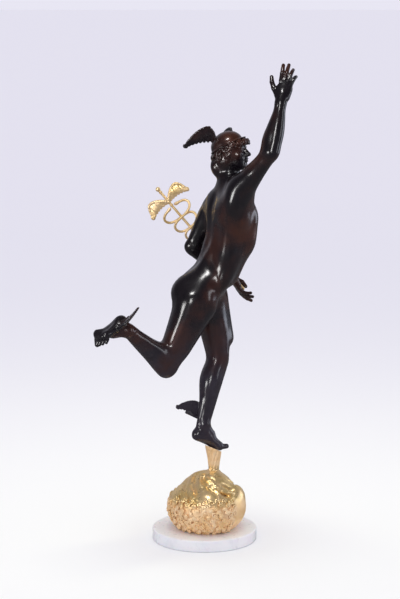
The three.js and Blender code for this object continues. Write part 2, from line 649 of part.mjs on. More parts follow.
// Neck, face, hair and cap. The face is plain and calm: half the head's height lies below the eyes.
function headForms(clay) {
  const { at, axes } = head;
  // The rounded mass of the hair, open at the face and full at the nape
  clay.add(egg(at(0, -6, 0), axes, [23.5, 27.5, 26]), 3);
  clay.carve(egg(at(0, 24, -10), axes, [17, 22, 22]), 3);
  clay.add(egg(at(0, -29, -20), axes, [17, 11.5, 17]), 6);

  // Neck and face
  clay.add(rod(chest.at(0, -6, 46), at(0, -9, -12), 18, 16.5), 12);
  for (const side of [-1, 1]) clay.add(rod(chest.at(6 + side * 4, 18, 48), at(side * 15, -6, -12), 5.5), 8);
  clay.add(egg(at(0, -4, 8), axes, [21, 26.5, 23]), 6);
  clay.add(egg(at(0, 8, -9), axes, [16, 17, 22]), 6);
  clay.add(egg(at(0, 17, -26), axes, [6.5, 5.5, 5]), 5);
  clay.add(rod(at(-9.5, 20.5, 4.5), at(9.5, 20.5, 4.5), 3.6), 4);
  for (const side of [-1, 1]) {
    clay.add(rod(at(side * 14.5, -2, -13), at(side * 6, 14, -25), 5.5, 5), 6);
    clay.add(egg(at(side * 11, 15.5, -6), axes, [6, 5, 5]), 4);
    clay.carve(egg(at(side * 8.6, 25, -0.5), axes, [5.5, 4, 3.4]), 3);
    clay.add(egg(at(side * 8.6, 19.5, -0.5), axes, [4.4, 4.4, 4.4]), 1.5);
    clay.add(egg(at(side * 21, -2, -2), axes, [2.2, 4, 6.5]), 2);
  }
  clay.add(rod(at(0, 23, 3), at(0, 30, -8.5), 2.4, 3), 3);
  clay.add(rod(at(-3.4, 25.5, -9.5), at(3.4, 25.5, -9.5), 2.6), 2);
  clay.add(egg(at(0, 23.4, -15), axes, [6.6, 3.2, 1.8]), 2);
  clay.add(egg(at(0, 22.6, -18.6), axes, [5.2, 3.2, 2]), 2);

  // Locks of hair in rows from temple to temple round the back, and a thick row over the brow
  const rows = 4;
  for (let row = 0; row < rows; row++) {
    const count = 11 - row;
    const wide = 2.2 - 0.2 * row;
    for (let i = 0; i < count; i++) {
      const turn = mix(-wide, wide, (i + 0.5 * (row % 2)) / (count - 1)) + Math.PI;
      const lock = at((23.5 - row) * Math.sin(turn), -6 + (27 + 2.5 * row) * Math.cos(turn), 2 - 8 * row);
      clay.add(rod(lock, lock.clone().addScaledVector(head.up, -4 * s), 5.4 - 0.3 * row, 4.2), 2);
    }
  }
  for (let i = 0; i < 6; i++) {
    const turn = mix(-1.15, 1.15, i / 5);
    clay.add(egg(at(20 * Math.sin(turn), -3 + 31 * Math.cos(turn), 13), axes, [6, 7, 7.5]), 2);
  }

  // Cap, pushed back: its brim climbs to the front
  const capUp = head.up.clone().addScaledVector(head.front, -0.3).normalize();
  const capFront = capUp.clone().cross(head.left).negate();
  const capAxes = [head.left, capFront, capUp];
  clay.add(egg(at(0, -6, 13), capAxes, [24.5, 28.5, 23]), 2);
  clay.add(egg(at(0, -4, 12.5), capAxes, [28.5, 33, 3]), 2);
}

// A wing as a solid: leading edge from the root over its peak to the tip, and feather ends back along the
// lower edge. across points to the tip and rise to the peak. A second row of feathers lies on each face.
function wing(root, across, rise, { length, height, peak, feathers }) {
  const x = across.clone().normalize();
  const y = rise.clone().addScaledVector(x, -rise.dot(x)).normalize();
  const z = x.clone().cross(y);
  const [l, h] = [length * s, height * s];
  const layer = (reach, thick, count) => {
    const shape = new THREE.Shape();
    shape.moveTo(-0.04 * l, -0.06 * h);
    shape.quadraticCurveTo((peak - 0.26) * l, 0.98 * h, peak * l, h);
    shape.quadraticCurveTo(mix(peak, 1, 0.75) * l * reach, h, l * reach, 0.04 * h);
    const low = (t) => [mix(l * reach, 0.02 * l, t), h * 0.12 * Math.sin(Math.PI * t)];
    for (let i = 0; i < count; i++) {
      const [x0, y0] = low(i / count);
      const [x1, y1] = low((i + 1) / count);
      shape.quadraticCurveTo((x0 + x1) / 2 + 0.04 * l, (y0 + y1) / 2 - 0.18 * h, x1, y1);
    }
    const flat = new THREE.ExtrudeGeometry(shape, { depth: thick, bevelEnabled: false, curveSegments: 3 });
    flat.translate(0, 0, -thick / 2);
    flat.applyMatrix4(new THREE.Matrix4().makeBasis(x, y, z).setPosition(root));
    return solidOf(flat);
  };
  return layer(1, featherThickness, feathers).add(layer(0.6, 1.7 * featherThickness, feathers - 2));
}

// The standing foot and the plume meet on the plane of that foot's sole.
const stand = footFrame(feet.left, joints.left.side);
const soleMiddle = stand.at(34, 0, 0);

// Staff: it lies on the palm of the left hand and ends in the hand.
const leftHand = handFrame(arms.left.wrist, hands.left, arms.left.side);
const rightHand = handFrame(arms.right.wrist, hands.right, arms.right.side);
const staffEnd = leftHand.at(36, 2, 7.5);
const staffTop = P(126, 33, 439);
const staffUp = staffTop.clone().sub(staffEnd).normalize();
const staffLength = staffTop.distanceTo(staffEnd);

function tube(from, to, ra, rb, sides) {
  const axis = to.clone().sub(from);
  const shape = new THREE.CylinderGeometry(rb, ra, axis.length(), sides);
  shape.applyQuaternion(new THREE.Quaternion().setFromUnitVectors(V(0, 1, 0), axis.clone().normalize()));
  const middle = from.clone().lerp(to, 0.5);
  return solidOf(shape.translate(middle.x, middle.y, middle.z));
}

function figure() {
  const reach = new THREE.Box3().setFromPoints([
    P(-175, -120, -12), P(100, 262, 668),
  ]);
  const clay = new Clay(reach, figureStep);
  torso(clay);
  for (const side of ["left", "right"]) {
    leg(clay, joints[side]);
    foot(clay, feet[side], joints[side].ankle, joints[side].side);
    arm(clay, arms[side]);
  }
  // Muscles that run from the trunk to the raised arm
  const inner = (share) => arms.right.shoulder.clone().lerp(arms.right.elbow, share);
  clay.add(rod(chest.at(-33, -12, -6), inner(0.16), 11, 10), 16);
  clay.add(rod(chest.at(-26, 14, 10), inner(0.16), 10, 9), 12);
  headForms(clay);
  hand(clay, leftHand, {
    curl: [0.14, 0.2, 0.34, 0.42], spread: 0.03,
    thumbPath: [[6, 9, 2], [15, 13, 7], [24, 9, 12.5], [33, 4, 13]],
  });
  hand(clay, rightHand, {
    curl: [0.16, 0.26, 0.36, 0.44], spread: 0.1,
    thumbPath: [[6, 8, 1], [15, 17, 3], [24, 23, 5], [32, 26, 7]],
  });
  let body = cast(clay, figureTriangles);

  // Wings of the cap, and one at the outer side of each ankle
  for (const side of [-1, 1]) {
    const out = head.left.clone().multiplyScalar(side);
    const sweep = head.front.clone().multiplyScalar(-0.76).addScaledVector(out, 0.65);
    const rise = head.up.clone().addScaledVector(out, 0.35);
    const root = head.at(side * 20, -11 + 7 * side, 17 - 4 * side);
    body = body.add(wing(root, sweep, rise, capWing));
  }
  for (const side of ["left", "right"]) {
    const { at } = footFrame(feet[side], joints[side].side);
    const { root, sweep, rise } = footWings[side];
    const [back, upwards] = [sweep, rise].map((way) => at(...way).sub(at(0, 0, 0)));
    body = body.add(wing(at(...root), back, upwards, ankleWing));
  }
  const hole = tube(staffEnd.clone().addScaledVector(staffUp, -fitGap),
    staffEnd.clone().addScaledVector(staffUp, staffLength), staffRadius + fitGap, staffRadius + fitGap, 12);
  return body.subtract(hole);
}

// Rock with smooth lumps and hollows above, and curls of cloud over its lower part.
// The plume is a flared column that rises from the rock and is cut along the sole.
function mount() {
  const r = rockRadius;
  const h = rockHeight;
  const axes = [V(1, 0, 0), V(0, 1, 0), V(0, 0, 1)];
  const centre = V(rockX, rockY, marbleThickness + rockMiddle * h);
  const clay = new Clay(new THREE.Box3(
    V(rockX - 1.1 * r, rockY - 1.1 * r, marbleThickness - 6),
    V(rockX + 1.1 * r, rockY + 1.1 * r, rockTop + 4),
  ), rockStep);
  const around = (turn, out, up) => V(
    rockX + r * out * Math.cos(turn), rockY + r * out * Math.sin(turn), marbleThickness + h * up);
  clay.add(egg(centre, axes, [rockWide * r, rockWide * r, rockHalf * h]), 4);
  const mound = V(0.6 * plumeX, 0.6 * plumeY, marbleThickness + 0.68 * h);
  clay.add(egg(mound, axes, [0.56 * r, 0.56 * r, 0.3 * h]), 14);
  clay.add(rod(V(plumeX, plumeY, marbleThickness + 0.75 * h), V(plumeX, plumeY, rockTop - 12), 24, 13), 10);

  // Smooth lumps and hollows of the upper half
  smoothLumps.forEach(({ turn, out, up, size }) => clay.add(egg(around(turn, out, up), axes, size), 9));
  smoothHollows.forEach(({ turn, out, up, size }) => clay.carve(egg(around(turn, out, up), axes, size), 8));
  cloudRidges.forEach(({ start, turn, out, radius }) => {
    const pieces = 6;
    const place = (t) => around(start + turn * t, mix(0.16, out, t), mix(0.93, 0.5, t ** 1.3));
    for (let i = 0; i < pieces; i++) {
      const [t0, t1] = [i / pieces, (i + 1) / pieces];
      clay.add(rod(place(t0), place(t1), mix(5, radius, t0), mix(5, radius, t1)), 5);
    }
  });

  // Curls of cloud, each a lump with a pit, left away from the smooth side. Turning by the golden angle
  // from one to the next packs them evenly and in no rows.
  const goldenAngle = Math.PI * (3 - Math.sqrt(5));
  for (let i = 0; i < curlCount; i++) {
    const up = (curlTop * (i + 0.8)) / curlCount;
    const out = rockWide * Math.sqrt(1 - ((up - rockMiddle) / rockHalf) ** 2);
    const turn = i * goldenAngle;
    const fromSmooth = Math.abs(Math.atan2(Math.sin(turn - smoothSide), Math.cos(turn - smoothSide)));
    if (fromSmooth < smoothSpread) continue;
    const at = around(turn, out, up);
    const outward = at.clone().sub(centre).normalize();
    clay.add(egg(at, axes, [8, 8, 7]), 3);
    clay.carve(egg(at.clone().addScaledVector(outward, 8), axes, [3.4, 3.4, 3.4]), 3);
  }
  clay.carve(behindPlane(V(0, 0, marbleThickness), V(0, 0, 1), 2 * r), 0.01);
  const rock = cast(clay, rockTriangles).trimByPlane([0, 0, 1], marbleThickness);

  // Plume: a turned cup, sunk into the rock's top and cut by the plane of the sole
  const rim = plumeSunk + plumeHeight;
  const profile = [
    [0, 0], [1.25 * plumeFootRadius, 0], [1.22 * plumeFootRadius, 1.25 * plumeSunk],
    [plumeFootRadius, 1.6 * plumeSunk], [1.12 * plumeFootRadius, mix(plumeSunk, rim, 0.45)],
    [0.86 * plumeHeadRadius, mix(plumeSunk, rim, 0.8)], [plumeHeadRadius, rim],
    [plumeHeadRadius, rim + plumeSpare], [0, rim + plumeSpare],
  ];
  const cup = new THREE.LatheGeometry(profile.map(([x, y]) => new THREE.Vector2(x, y)), 28);
  cup.rotateX(Math.PI / 2);
  cup.translate(plumeX, plumeY, rockTop - plumeSunk);
  const column = solidOf(cup);
  const below = stand.up.clone().negate();
  const level = soleMiddle.dot(below) + fitGap;
  return rock.add(column.trimByPlane(below.toArray(), level));
}

// Gilt caduceus: knob, staff, two wings and two snakes wound round it
function caduceus() {
  const up = staffUp;
  const across = V(-0.45, -0.64, 0.62);
  across.addScaledVector(up, -across.dot(up)).normalize();
  const face = across.clone().cross(up);
  const at = (x, y, z = 0) => staffEnd.clone().addScaledVector(across, x).addScaledVector(up, y)
    .addScaledVector(face, z);
  let whole = tube(staffEnd, staffTop, staffRadius, staffRadius, 12);
  const knob = new THREE.SphereGeometry(knobRadius, 10, 6).translate(...staffTop.toArray());
  whole = whole.add(solidOf(knob));

  // Wings
  const wingRoot = staffLength - 30;
  for (const side of [-1, 1]) {
    const sweep = across.clone().multiplyScalar(side).addScaledVector(up, -0.15);
    whole = whole.add(wing(at(side, wingRoot), sweep, up, staffWing));
  }

  // Snakes: from small heads below the wings they wind down, one in front and then the other, in
  // loops that narrow to the tails
  const snakePoints = 28;
  const headTurn = -1.2;
  const tailTurn = 3.5 * Math.PI;
  const headsAt = staffLength - 42;
  for (const side of [-1, 1]) {
    const points = [];
    for (let i = 0; i <= snakePoints; i++) {
      const t = i / snakePoints;
      const turn = mix(headTurn, tailTurn, t);
      const swell = snakeLoop * (1 - 0.65 * t);
      points.push(at(
        side * swell * Math.cos(turn),
        headsAt - snakeLength * t - snakeWave * Math.sin(2 * turn),
        side * (staffRadius + 0.7 * snakeRadius) * Math.sin(turn),
      ));
    }
    whole = whole.add(snake(points));
  }
  return whole;
}

// A snake's body along a smooth curve
function snake(points) {
  const snakeSides = 6;
  const section = new THREE.Shape();
  for (let i = 0; i < snakeSides; i++) {
    const turn = (2 * Math.PI * i) / snakeSides;
    const [x, y] = [snakeRadius * Math.cos(turn), snakeRadius * Math.sin(turn)];
    if (i === 0) section.moveTo(x, y);
    else section.lineTo(x, y);
  }
  const path = new THREE.CatmullRomCurve3(points);
  return solidOf(new THREE.ExtrudeGeometry(section, { steps: 30, extrudePath: path, bevelEnabled: false }));
}

function marble() {
  const r = marbleDiameter / 2;
  const e = marbleEdgeRound;
  const t = marbleThickness;
  const slant = e * (1 - Math.SQRT1_2);
  const profile = [
    [0, 0], [r - e, 0], [r - slant, slant], [r, e], [r, t - e], [r - slant, t - slant], [r - e, t], [0, t],
  ];
  const geometry = new THREE.LatheGeometry(profile.map(([x, y]) => new THREE.Vector2(x, y)), marbleSides);
  return solidOf(geometry.rotateX(Math.PI / 2));
}

const materials = {
  bronze: new THREE.MeshStandardMaterial({ color: 0x2a1a14, roughness: 0.25, metalness: 0.9 }),
  gilt: new THREE.MeshStandardMaterial({ color: 0xd9a441, roughness: 0.25, metalness: 1 }),
  marble: new THREE.MeshStandardMaterial({ color: 0xe9e8ec, roughness: 0.35, metalness: 0 }),
};

const group = new THREE.Group();
function place(name, solid, material) {
  const mesh = new THREE.Mesh(geometryOf(solid), material);
  mesh.name = name;
  group.add(mesh);
}

place("figure", figure(), materials.bronze);
place("caduceus", caduceus(), materials.gilt);
place("gilt_mount", mount(), materials.gilt);
place("marble_base", marble(), materials.marble);

export default group;
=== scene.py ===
# %% [markdown]
# A bronze statuette of the running messenger god. He has a winged cap, a wing at each ankle and a gilt
# caduceus, and stands on one foot on a gilt plume of wind that rises from a gilt rock, on a disc of
# white marble. The imported model is the frame: every piece made here stands where its node stands, in
# metres, with the origin under the middle of the marble.

# %% Load the imported model
import math
import bpy
import numpy as np
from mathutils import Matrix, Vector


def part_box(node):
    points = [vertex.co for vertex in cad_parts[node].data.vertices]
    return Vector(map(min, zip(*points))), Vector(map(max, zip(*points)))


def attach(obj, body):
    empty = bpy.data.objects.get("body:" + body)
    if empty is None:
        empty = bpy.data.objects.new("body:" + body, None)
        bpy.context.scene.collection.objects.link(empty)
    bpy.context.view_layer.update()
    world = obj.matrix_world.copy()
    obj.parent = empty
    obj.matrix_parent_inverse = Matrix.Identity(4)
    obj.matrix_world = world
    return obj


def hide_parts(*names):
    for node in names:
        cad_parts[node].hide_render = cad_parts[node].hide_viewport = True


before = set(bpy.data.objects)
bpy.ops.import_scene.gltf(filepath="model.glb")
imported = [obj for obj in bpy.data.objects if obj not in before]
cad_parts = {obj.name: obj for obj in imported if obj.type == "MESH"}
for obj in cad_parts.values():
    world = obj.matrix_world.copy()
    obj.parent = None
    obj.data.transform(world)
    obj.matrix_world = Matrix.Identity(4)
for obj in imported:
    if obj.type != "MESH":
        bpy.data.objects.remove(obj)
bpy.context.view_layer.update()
import openvdb
from mathutils import Vector

print("nodes:", ", ".join(sorted(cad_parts)))

# %% [markdown]
# The figure is modelled as the founder's clay was: forms are added with soft joins, and furrows are
# cut. In the computer that is a field of distances on a grid, below zero inside the clay. Sculpting by
# hand or smoothing a coarse mesh could do it too, but a field joins muscles without a seam and gives
# the same result on every run. Lengths are in millimetres until a piece is cast.

# %% Vectors
MM = 0.001


def vec(x, y, z):
    return np.array([x, y, z], dtype=float)


def unit(x, y=None, z=None):
    """The direction of a vector, which is given whole or as three numbers."""
    a = np.asarray(x if y is None else (x, y, z), dtype=float)
    return a / np.linalg.norm(a)


def mix(a, b, t):
    """From a to b, as t goes from 0 to 1."""
    return a + (b - a) * t


print("one millimetre is", MM, "metres")

# %% [markdown]
# Most forms of a body are long: bones, muscles, fingers and locks of hair. Each is a rod between two
# places, with a radius at each end. A spindle is a rod that swells from its ends, as a muscle does. A
# form is three things: how far any place is from its skin, and the two corners of its box.

# %% Rods and spindles
def rod(a, b, ra, rb=None, swell=0.0):
    """A rod with round ends, of radius ra at a and rb at b, and swell more in the middle."""
    rb = ra if rb is None else rb
    d = b - a
    dd = max(float(d @ d), 1e-9)
    reach = max(ra, rb) + swell

    def distance(x, y, z):
        px, py, pz = x - a[0], y - a[1], z - a[2]
        along = (px * d[0] + py * d[1]) + pz * d[2]
        t = np.clip(along / dd, 0, 1)
        away = (px * px + py * py) + pz * pz
        away = np.sqrt(np.maximum(away - t * (2 * along - t * dd), 0))
        if swell:
            return 0.9 * (away - (ra + (rb - ra) * t) - swell * np.sin(math.pi * t))
        return away - (ra + (rb - ra) * t)

    return distance, np.minimum(a, b) - reach, np.maximum(a, b) + reach


def spindle(a, b, radius, end=0.4):
    """A muscle that swells from its ends to a radius between them."""
    return rod(a, b, end * radius, end * radius, swell=(1 - end) * radius)


away_from_rod = rod(vec(0, 0, 0), vec(0, 0, 10), 2)[0]
print("the core of a rod 2 mm in radius is", float(away_from_rod(0, 0, 5)), "mm from its skin")

# %% [markdown]
# The rounder forms, such as the chest, the seat and a knee cap, are eggs with three axes of their own.
# The distance to an egg is only nearly right, which is enough close to its skin. A plane cuts what has
# to be flat, such as the sole that sits on the plume.

# %% Eggs and planes
def egg(centre, axes, radii):
    """An ellipsoid with half lengths along three axes of its own."""
    turn = np.array(axes)
    square = turn.T @ np.diag([1 / r ** 2 for r in radii]) @ turn
    fourth = turn.T @ np.diag([1 / r ** 4 for r in radii]) @ turn

    def form(m, px, py, pz):
        flat = m[0, 0] * px * px + m[1, 1] * py * py + 2 * m[0, 1] * px * py
        deep = m[2, 2] * pz * pz + 2 * m[1, 2] * py * pz
        return flat + deep + 2 * m[0, 2] * px * pz

    def distance(x, y, z):
        px, py, pz = x - centre[0], y - centre[1], z - centre[2]
        k0 = np.sqrt(np.maximum(form(square, px, py, pz), 0))
        k1 = np.sqrt(np.maximum(form(fourth, px, py, pz), 1e-9))
        return k0 * (k0 - 1) / k1

    reach = np.sqrt((turn.T ** 2) @ np.array(radii) ** 2)
    return distance, centre - reach, centre + reach


def behind_plane(point, normal, reach):
    """Everything behind a plane, within reach of its point: it is cut away to leave a flat face."""
    def distance(x, y, z):
        px, py, pz = x - point[0], y - point[1], z - point[2]
        behind = (px * normal[0] + py * normal[1]) + pz * normal[2]
        ball = np.sqrt((px * px + py * py) + pz * pz) - reach
        return np.maximum(behind, ball)

    return distance, point - reach, point + reach


away_from_ball = egg(vec(0, 0, 0), np.eye(3), [5, 5, 5])[0]
print("8 mm from the middle of a 5 mm ball is", round(float(away_from_ball(8, 0, 0)), 2), "mm from it")

# %% [markdown]
# The clay is a block of numbers. Its grid is finer round the head, where the forms are small, which
# costs less than a fine grid everywhere. Two forms join smoothly when the smaller distance is taken,
# and a little more where the two are nearly equal. A form changes only the numbers near it.
# What winds, such as a curl or a snake, is a chain of short rods.

# %% A block of clay
FIELD_REACH = 3.0
FAR_AWAY = 15


def grid_line(low, high, step, fine=None, fine_step=None):
    """Places of the grid along one axis, closer together between the ends of fine."""
    if fine is None:
        return np.arange(low, high + step, step)
    before = np.arange(low, fine[0], step)
    inside = np.arange(fine[0], fine[1], fine_step)
    return np.concatenate([before, inside, np.arange(fine[1], high + step, step)])


class Clay:
    def __init__(self, *lines):
        self.lines = lines
        self.field = np.full([len(line) for line in lines], 1e3, np.float32)

    def near(self, low, high, pad):
        """The part of the grid that holds a box, and its places along each axis."""
        part = []
        for line, a, b in zip(self.lines, low, high):
            first = max(np.searchsorted(line, a - pad) - 1, 0)
            part.append(slice(first, np.searchsorted(line, b + pad) + 1))
        x, y, z = [line[p].astype(np.float32) for line, p in zip(self.lines, part)]
        return tuple(part), x[:, None, None], y[None, :, None], z[None, None, :]

    def add(self, form, blend, sign=1):
        """Adds a form, with a soft join about as wide as blend."""
        distance, low, high = form
        part, x, y, z = self.near(low, high, blend + FIELD_REACH)
        old = sign * self.field[part]
        new = distance(x, y, z)
        soft = np.maximum(blend - np.abs(old - new), 0)
        self.field[part] = sign * (np.minimum(old, new) - soft * soft / (4 * blend))

    def carve(self, form, blend):
        """Cuts a form away, which is the same as adding it to what is not clay."""
        self.add(form, blend, sign=-1)

    def smooth(self, *strides):
        """Softens each crease, as a thumb does: a place takes the mean of itself and its neighbours."""
        np.minimum(self.field, FAR_AWAY, out=self.field)
        for stride in strides:
            for axis in range(3):
                field = np.moveaxis(self.field, axis, 0)
                total = field[2 * stride:] + field[:-2 * stride]
                total += field[stride:-stride]
                total /= 3
                field[stride:-stride] = total


def chain(work, beads, blend):
    """Adds or carves a rod from each bead to the next. A bead is a place and the radii of its rod."""
    for before, (place, *radii) in zip(beads, beads[1:]):
        work(rod(before[0], place, *radii), blend)


print("distances are right up to", FIELD_REACH, "mm from the skin")

# %% [markdown]
# The surface has to be found to better than the grid. So the field is read between the grid's places,
# and its slope, taken from places a little to each side, gives the surface's true direction.

# %% Reading the clay
SLOPE_STEP = 0.7


def sample(clay, points):
    """The field between the grid's places."""
    places = [np.interp(points[:, i], line, np.arange(len(line))) for i, line in enumerate(clay.lines)]
    index = np.clip(np.stack(places), 0, np.array(clay.field.shape)[:, None] - 1.001)
    base = index.astype(int)
    part = index - base
    total = np.zeros(len(points))
    for corner in np.ndindex(2, 2, 2):
        share = np.ones(len(points))
        for axis, bit in enumerate(corner):
            share *= part[axis] if bit else 1 - part[axis]
        total += share * clay.field[tuple(base[axis] + bit for axis, bit in enumerate(corner))]
    return total


def slope(clay, points):
    slopes = []
    for axis in range(3):
        step = np.zeros(3)
        step[axis] = SLOPE_STEP
        rise = sample(clay, points + step) - sample(clay, points - step)
        slopes.append(rise / (2 * SLOPE_STEP))
    return np.stack(slopes, axis=1)


print("slopes are taken over", 2 * SLOPE_STEP, "mm")

# %% [markdown]
# OpenVDB, which comes with Blender, turns the field into a mesh with larger faces where it is flatter,
# and each corner is then moved onto the exact surface. Its normal is the slope of the field, so the
# polish is as smooth as a real cast, where plain shading would show every face in the highlights. A
# number also tells how hollow each place is: the patina holds dirt there, and the gilt gets painted
# shade.

# %% Casting
HOLLOW_REACH = 2.4
FLAT_MERGE = 0.1


def show(name, data):
    """Puts a mesh, a light or a camera into the scene."""
    obj = bpy.data.objects.new(name, data)
    bpy.context.scene.collection.objects.link(obj)
    return obj


def cast(clay, name):
    """The surface as a mesh object in metres, with true normals and a hollow attribute."""
    np.clip(clay.field, -FIELD_REACH, FIELD_REACH, out=clay.field)
    grid = openvdb.FloatGrid(FIELD_REACH)
    grid.copyFromArray(clay.field)
    points, triangles, quads = grid.convertToPolygons(0.0, FLAT_MERGE)
    places = [np.interp(points[:, i], np.arange(len(line)), line) for i, line in enumerate(clay.lines)]
    points = np.stack(places, axis=1)
    for _ in range(2):
        lean = slope(clay, points)
        steep = np.maximum((lean ** 2).sum(axis=1), 0.1)
        points -= lean * (np.clip(sample(clay, points), -0.5, 0.5) / steep)[:, None]
    normals = slope(clay, points)
    normals /= np.maximum(np.linalg.norm(normals, axis=1), 1e-6)[:, None]
    hollow = 1 - sample(clay, points + normals * HOLLOW_REACH) / HOLLOW_REACH
    mesh = bpy.data.meshes.new(name)
    mesh.from_pydata((points * MM).tolist(), [], quads.tolist() + triangles.tolist())
    mesh.shade_smooth()
    values = mesh.attributes.new("hollow", "FLOAT", "POINT").data
    values.foreach_set("value", hollow.astype(np.float32))
    mesh.normals_split_custom_set_from_vertices(normals.tolist())
    count = len(triangles) + 2 * len(quads)
    print(f"{name}: {count} triangles, hollow from {hollow.min():.2f} to {hollow.max():.2f}")
    return show(name, mesh)


def hold(obj, node):
    """The piece rides on the body and replaces its node."""
    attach(obj, "root")
    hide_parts(node)


print("clay ready")

# %% [markdown]
# The pose comes first: the joints, measured from the ball of the standing foot. He stands on his left
# foot and throws the right leg back. The pelvis tips forward, the chest stays upright and the head
# looks up a little, so the whole body is one rising curve. The trunk's three blocks and the head each
# get axes of their own, and every form is placed along those axes.

# %% Footing and axes
marble_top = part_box("marble_base")[1][2] / MM
ROCK_HEIGHT = 99
PLUME_HEIGHT = 38
PLUME = vec(-2.5, -18, marble_top + ROCK_HEIGHT)
FOOTING = vec(-4, -20, marble_top + ROCK_HEIGHT + PLUME_HEIGHT)
FIT_GAP = 0.3


def at_pose(x, y, z):
    return FOOTING + vec(x, y, z)


class Axes:
    """A place with left, front and up directions: at(left, front, up) gives a point of it."""

    def __init__(self, origin, up, left):
        self.origin = origin
        self.up = unit(up)
        self.left = unit(left - self.up * (left @ self.up))
        self.front = np.cross(self.left, self.up)
        self.all = [self.left, self.front, self.up]

    def at(self, left, front, up):
        return self.origin + self.left * left + self.front * front + self.up * up


print("standing foot on the plume at", [round(c) for c in FOOTING], "mm")

# %% [markdown]
# The joints and the axes are the skeleton, as a sculptor bends an iron frame before any clay goes on.
# They were set against the photo's outline, and their depth by how such a body keeps its balance.

# %% Skeleton
SIDES = {"left": 1, "right": -1}
LEGS = {
    "left": {"hip": at_pose(24, -2, 271), "knee": at_pose(10, -14, 150), "ankle": at_pose(1, 24, 44)},
    "right": {"hip": at_pose(-15, 44, 268), "knee": at_pose(7, 97, 150), "ankle": at_pose(4, 176, 223)},
}
ARMS = {
    "left": {
        "shoulder": at_pose(34, -21, 414),
        "elbow": at_pose(67, 2, 342),
        "wrist": at_pose(44, -64, 291),
    },
    "right": {
        "shoulder": at_pose(-70, -4, 455),
        "elbow": at_pose(-138, -12, 519),
        "wrist": at_pose(-143, -28, 603),
    },
}
PELVIS = Axes(at_pose(5, 20, 287), unit(-0.22, -0.4, 0.89), unit(0.82, -0.56, -0.04))
BELLY = Axes(at_pose(-10, -7, 336), unit(-0.16, -0.26, 0.95), unit(0.92, -0.36, -0.14))
CHEST = Axes(at_pose(-19, -19, 406), unit(-0.1, -0.01, 0.995), unit(0.97, -0.12, -0.2))
HEAD = Axes(at_pose(-25, -15, 511), unit(0.16, 0.1, 0.97), unit(0.56, -0.82, 0.02))
hips, belly, ribs = PELVIS.at, BELLY.at, CHEST.at
print("the head is", round(HEAD.origin[2]), "mm above the floor")

# %% [markdown]
# The trunk starts as three eggs, for the pelvis, the belly and the ribs, and a rod through both
# shoulders. Muscles come in pairs, so a helper adds a form on both sides of a block's middle plane.

# %% Blocks of the trunk
def pair(clay, axes, make, blend):
    """Adds a form on both sides of a body's middle plane."""
    for side in (-1, 1):
        clay.add(make(lambda left, front, up: axes.at(side * left, front, up)), blend)


def trunk_blocks(clay):
    clay.add(egg(hips(0, 2, -2), PELVIS.all, [42, 34, 38]), 4)
    clay.add(egg(belly(0, 1, 0), BELLY.all, [40, 33, 52]), 20)
    clay.add(egg(ribs(0, -1.5, -5), CHEST.all, [47.5, 36.5, 61]), 22)
    clay.add(rod(ribs(-42, 0, 38), ribs(34, 3, 17), 15, 13), 18)


print("trunk's three blocks defined")

# %% [markdown]
# Seen from behind, what tells is the two columns beside the spine, the blades of the shoulders and the
# broad muscles that narrow from the arm pits to the waist. Each is a rod or an egg with a wide soft
# join, so that the polished back has no hard edges.

# %% Back
def back_muscles(clay):
    pair(clay, CHEST, lambda at: rod(at(36, -8, 4), at(24, -10, -56), 18, 12), 16)
    pair(clay, CHEST, lambda at: egg(at(24, -27, 14), CHEST.all, [17, 9, 22]), 12)
    pair(clay, CHEST, lambda at: rod(at(8, -16, 46), at(9, -26, 8), 9, 10), 12)
    pair(clay, CHEST, lambda at: rod(at(9, -26, 8), at(10, -24, -60), 10, 11), 12)
    pair(clay, CHEST, lambda at: rod(at(4, -8, 55), at(34, -7, 32), 9.5, 10), 14)
    pair(clay, BELLY, lambda at: rod(at(10, -23, 12), at(12, -28, -46), 11, 12), 12)


print("back defined")

# %% [markdown]
# The raised arm draws its shoulder up towards the neck and pulls the blade outwards and round. On a
# polished back the highlights show the shape, so these forms were moved until the highlights lay about
# where they do in the photo.

# %% Raised shoulder
def raised_shoulder(clay):
    clay.add(rod(ribs(-4, -10, 50), at_pose(-71, -1, 461), 12), 18)
    clay.add(rod(at_pose(-46, 11, 414), at_pose(-70, 1, 464), 13, 12), 20)
    clay.add(egg(at_pose(-66, 12, 432), CHEST.all, [15, 13.5, 20]), 10)
    clay.add(rod(ribs(-37, -22, -8), ribs(-34, -22, -62), 11, 12.5), 14)


print("raised shoulder defined")

# %% [markdown]
# The front is hidden in the photo and is finished all the same, since the statuette is seen from all
# sides: the breast, the arch of the ribs, and the straight and slanting muscles of the belly.

# %% Front
def front_muscles(clay):
    pair(clay, CHEST, lambda at: egg(at(20.5, 24, -1), CHEST.all, [22.5, 12, 20]), 12)
    pair(clay, CHEST, lambda at: egg(at(21, 17, -36), CHEST.all, [20, 20, 30]), 16)
    pair(clay, BELLY, lambda at: rod(at(9, 29, 28), at(8, 26, -34), 11, 10), 14)
    pair(clay, BELLY, lambda at: rod(at(27, 6, 8), at(33, 4, -40), 16, 15), 16)


print("front defined")

# %% [markdown]
# The right leg is thrown back, so the right seat is tense and round, and the left one carries the
# weight. The furrows come last, so that no muscle fills them again: the spine, the breastbone and the
# middle of the belly, with the navel. A plain small form closes the trunk below.

# %% Seat and furrows
def seat(clay):
    clay.add(egg(at_pose(5, 56, 277), PELVIS.all, [28, 28, 31]), 20)
    clay.add(egg(at_pose(33, 26, 276), PELVIS.all, [26, 26, 30]), 18)
    clay.add(egg(at_pose(-13, 31, 297), PELVIS.all, [19, 18, 17]), 12)
    clay.carve(rod(at_pose(33, 60, 300), at_pose(28, 58, 250), 2, 3), 9)


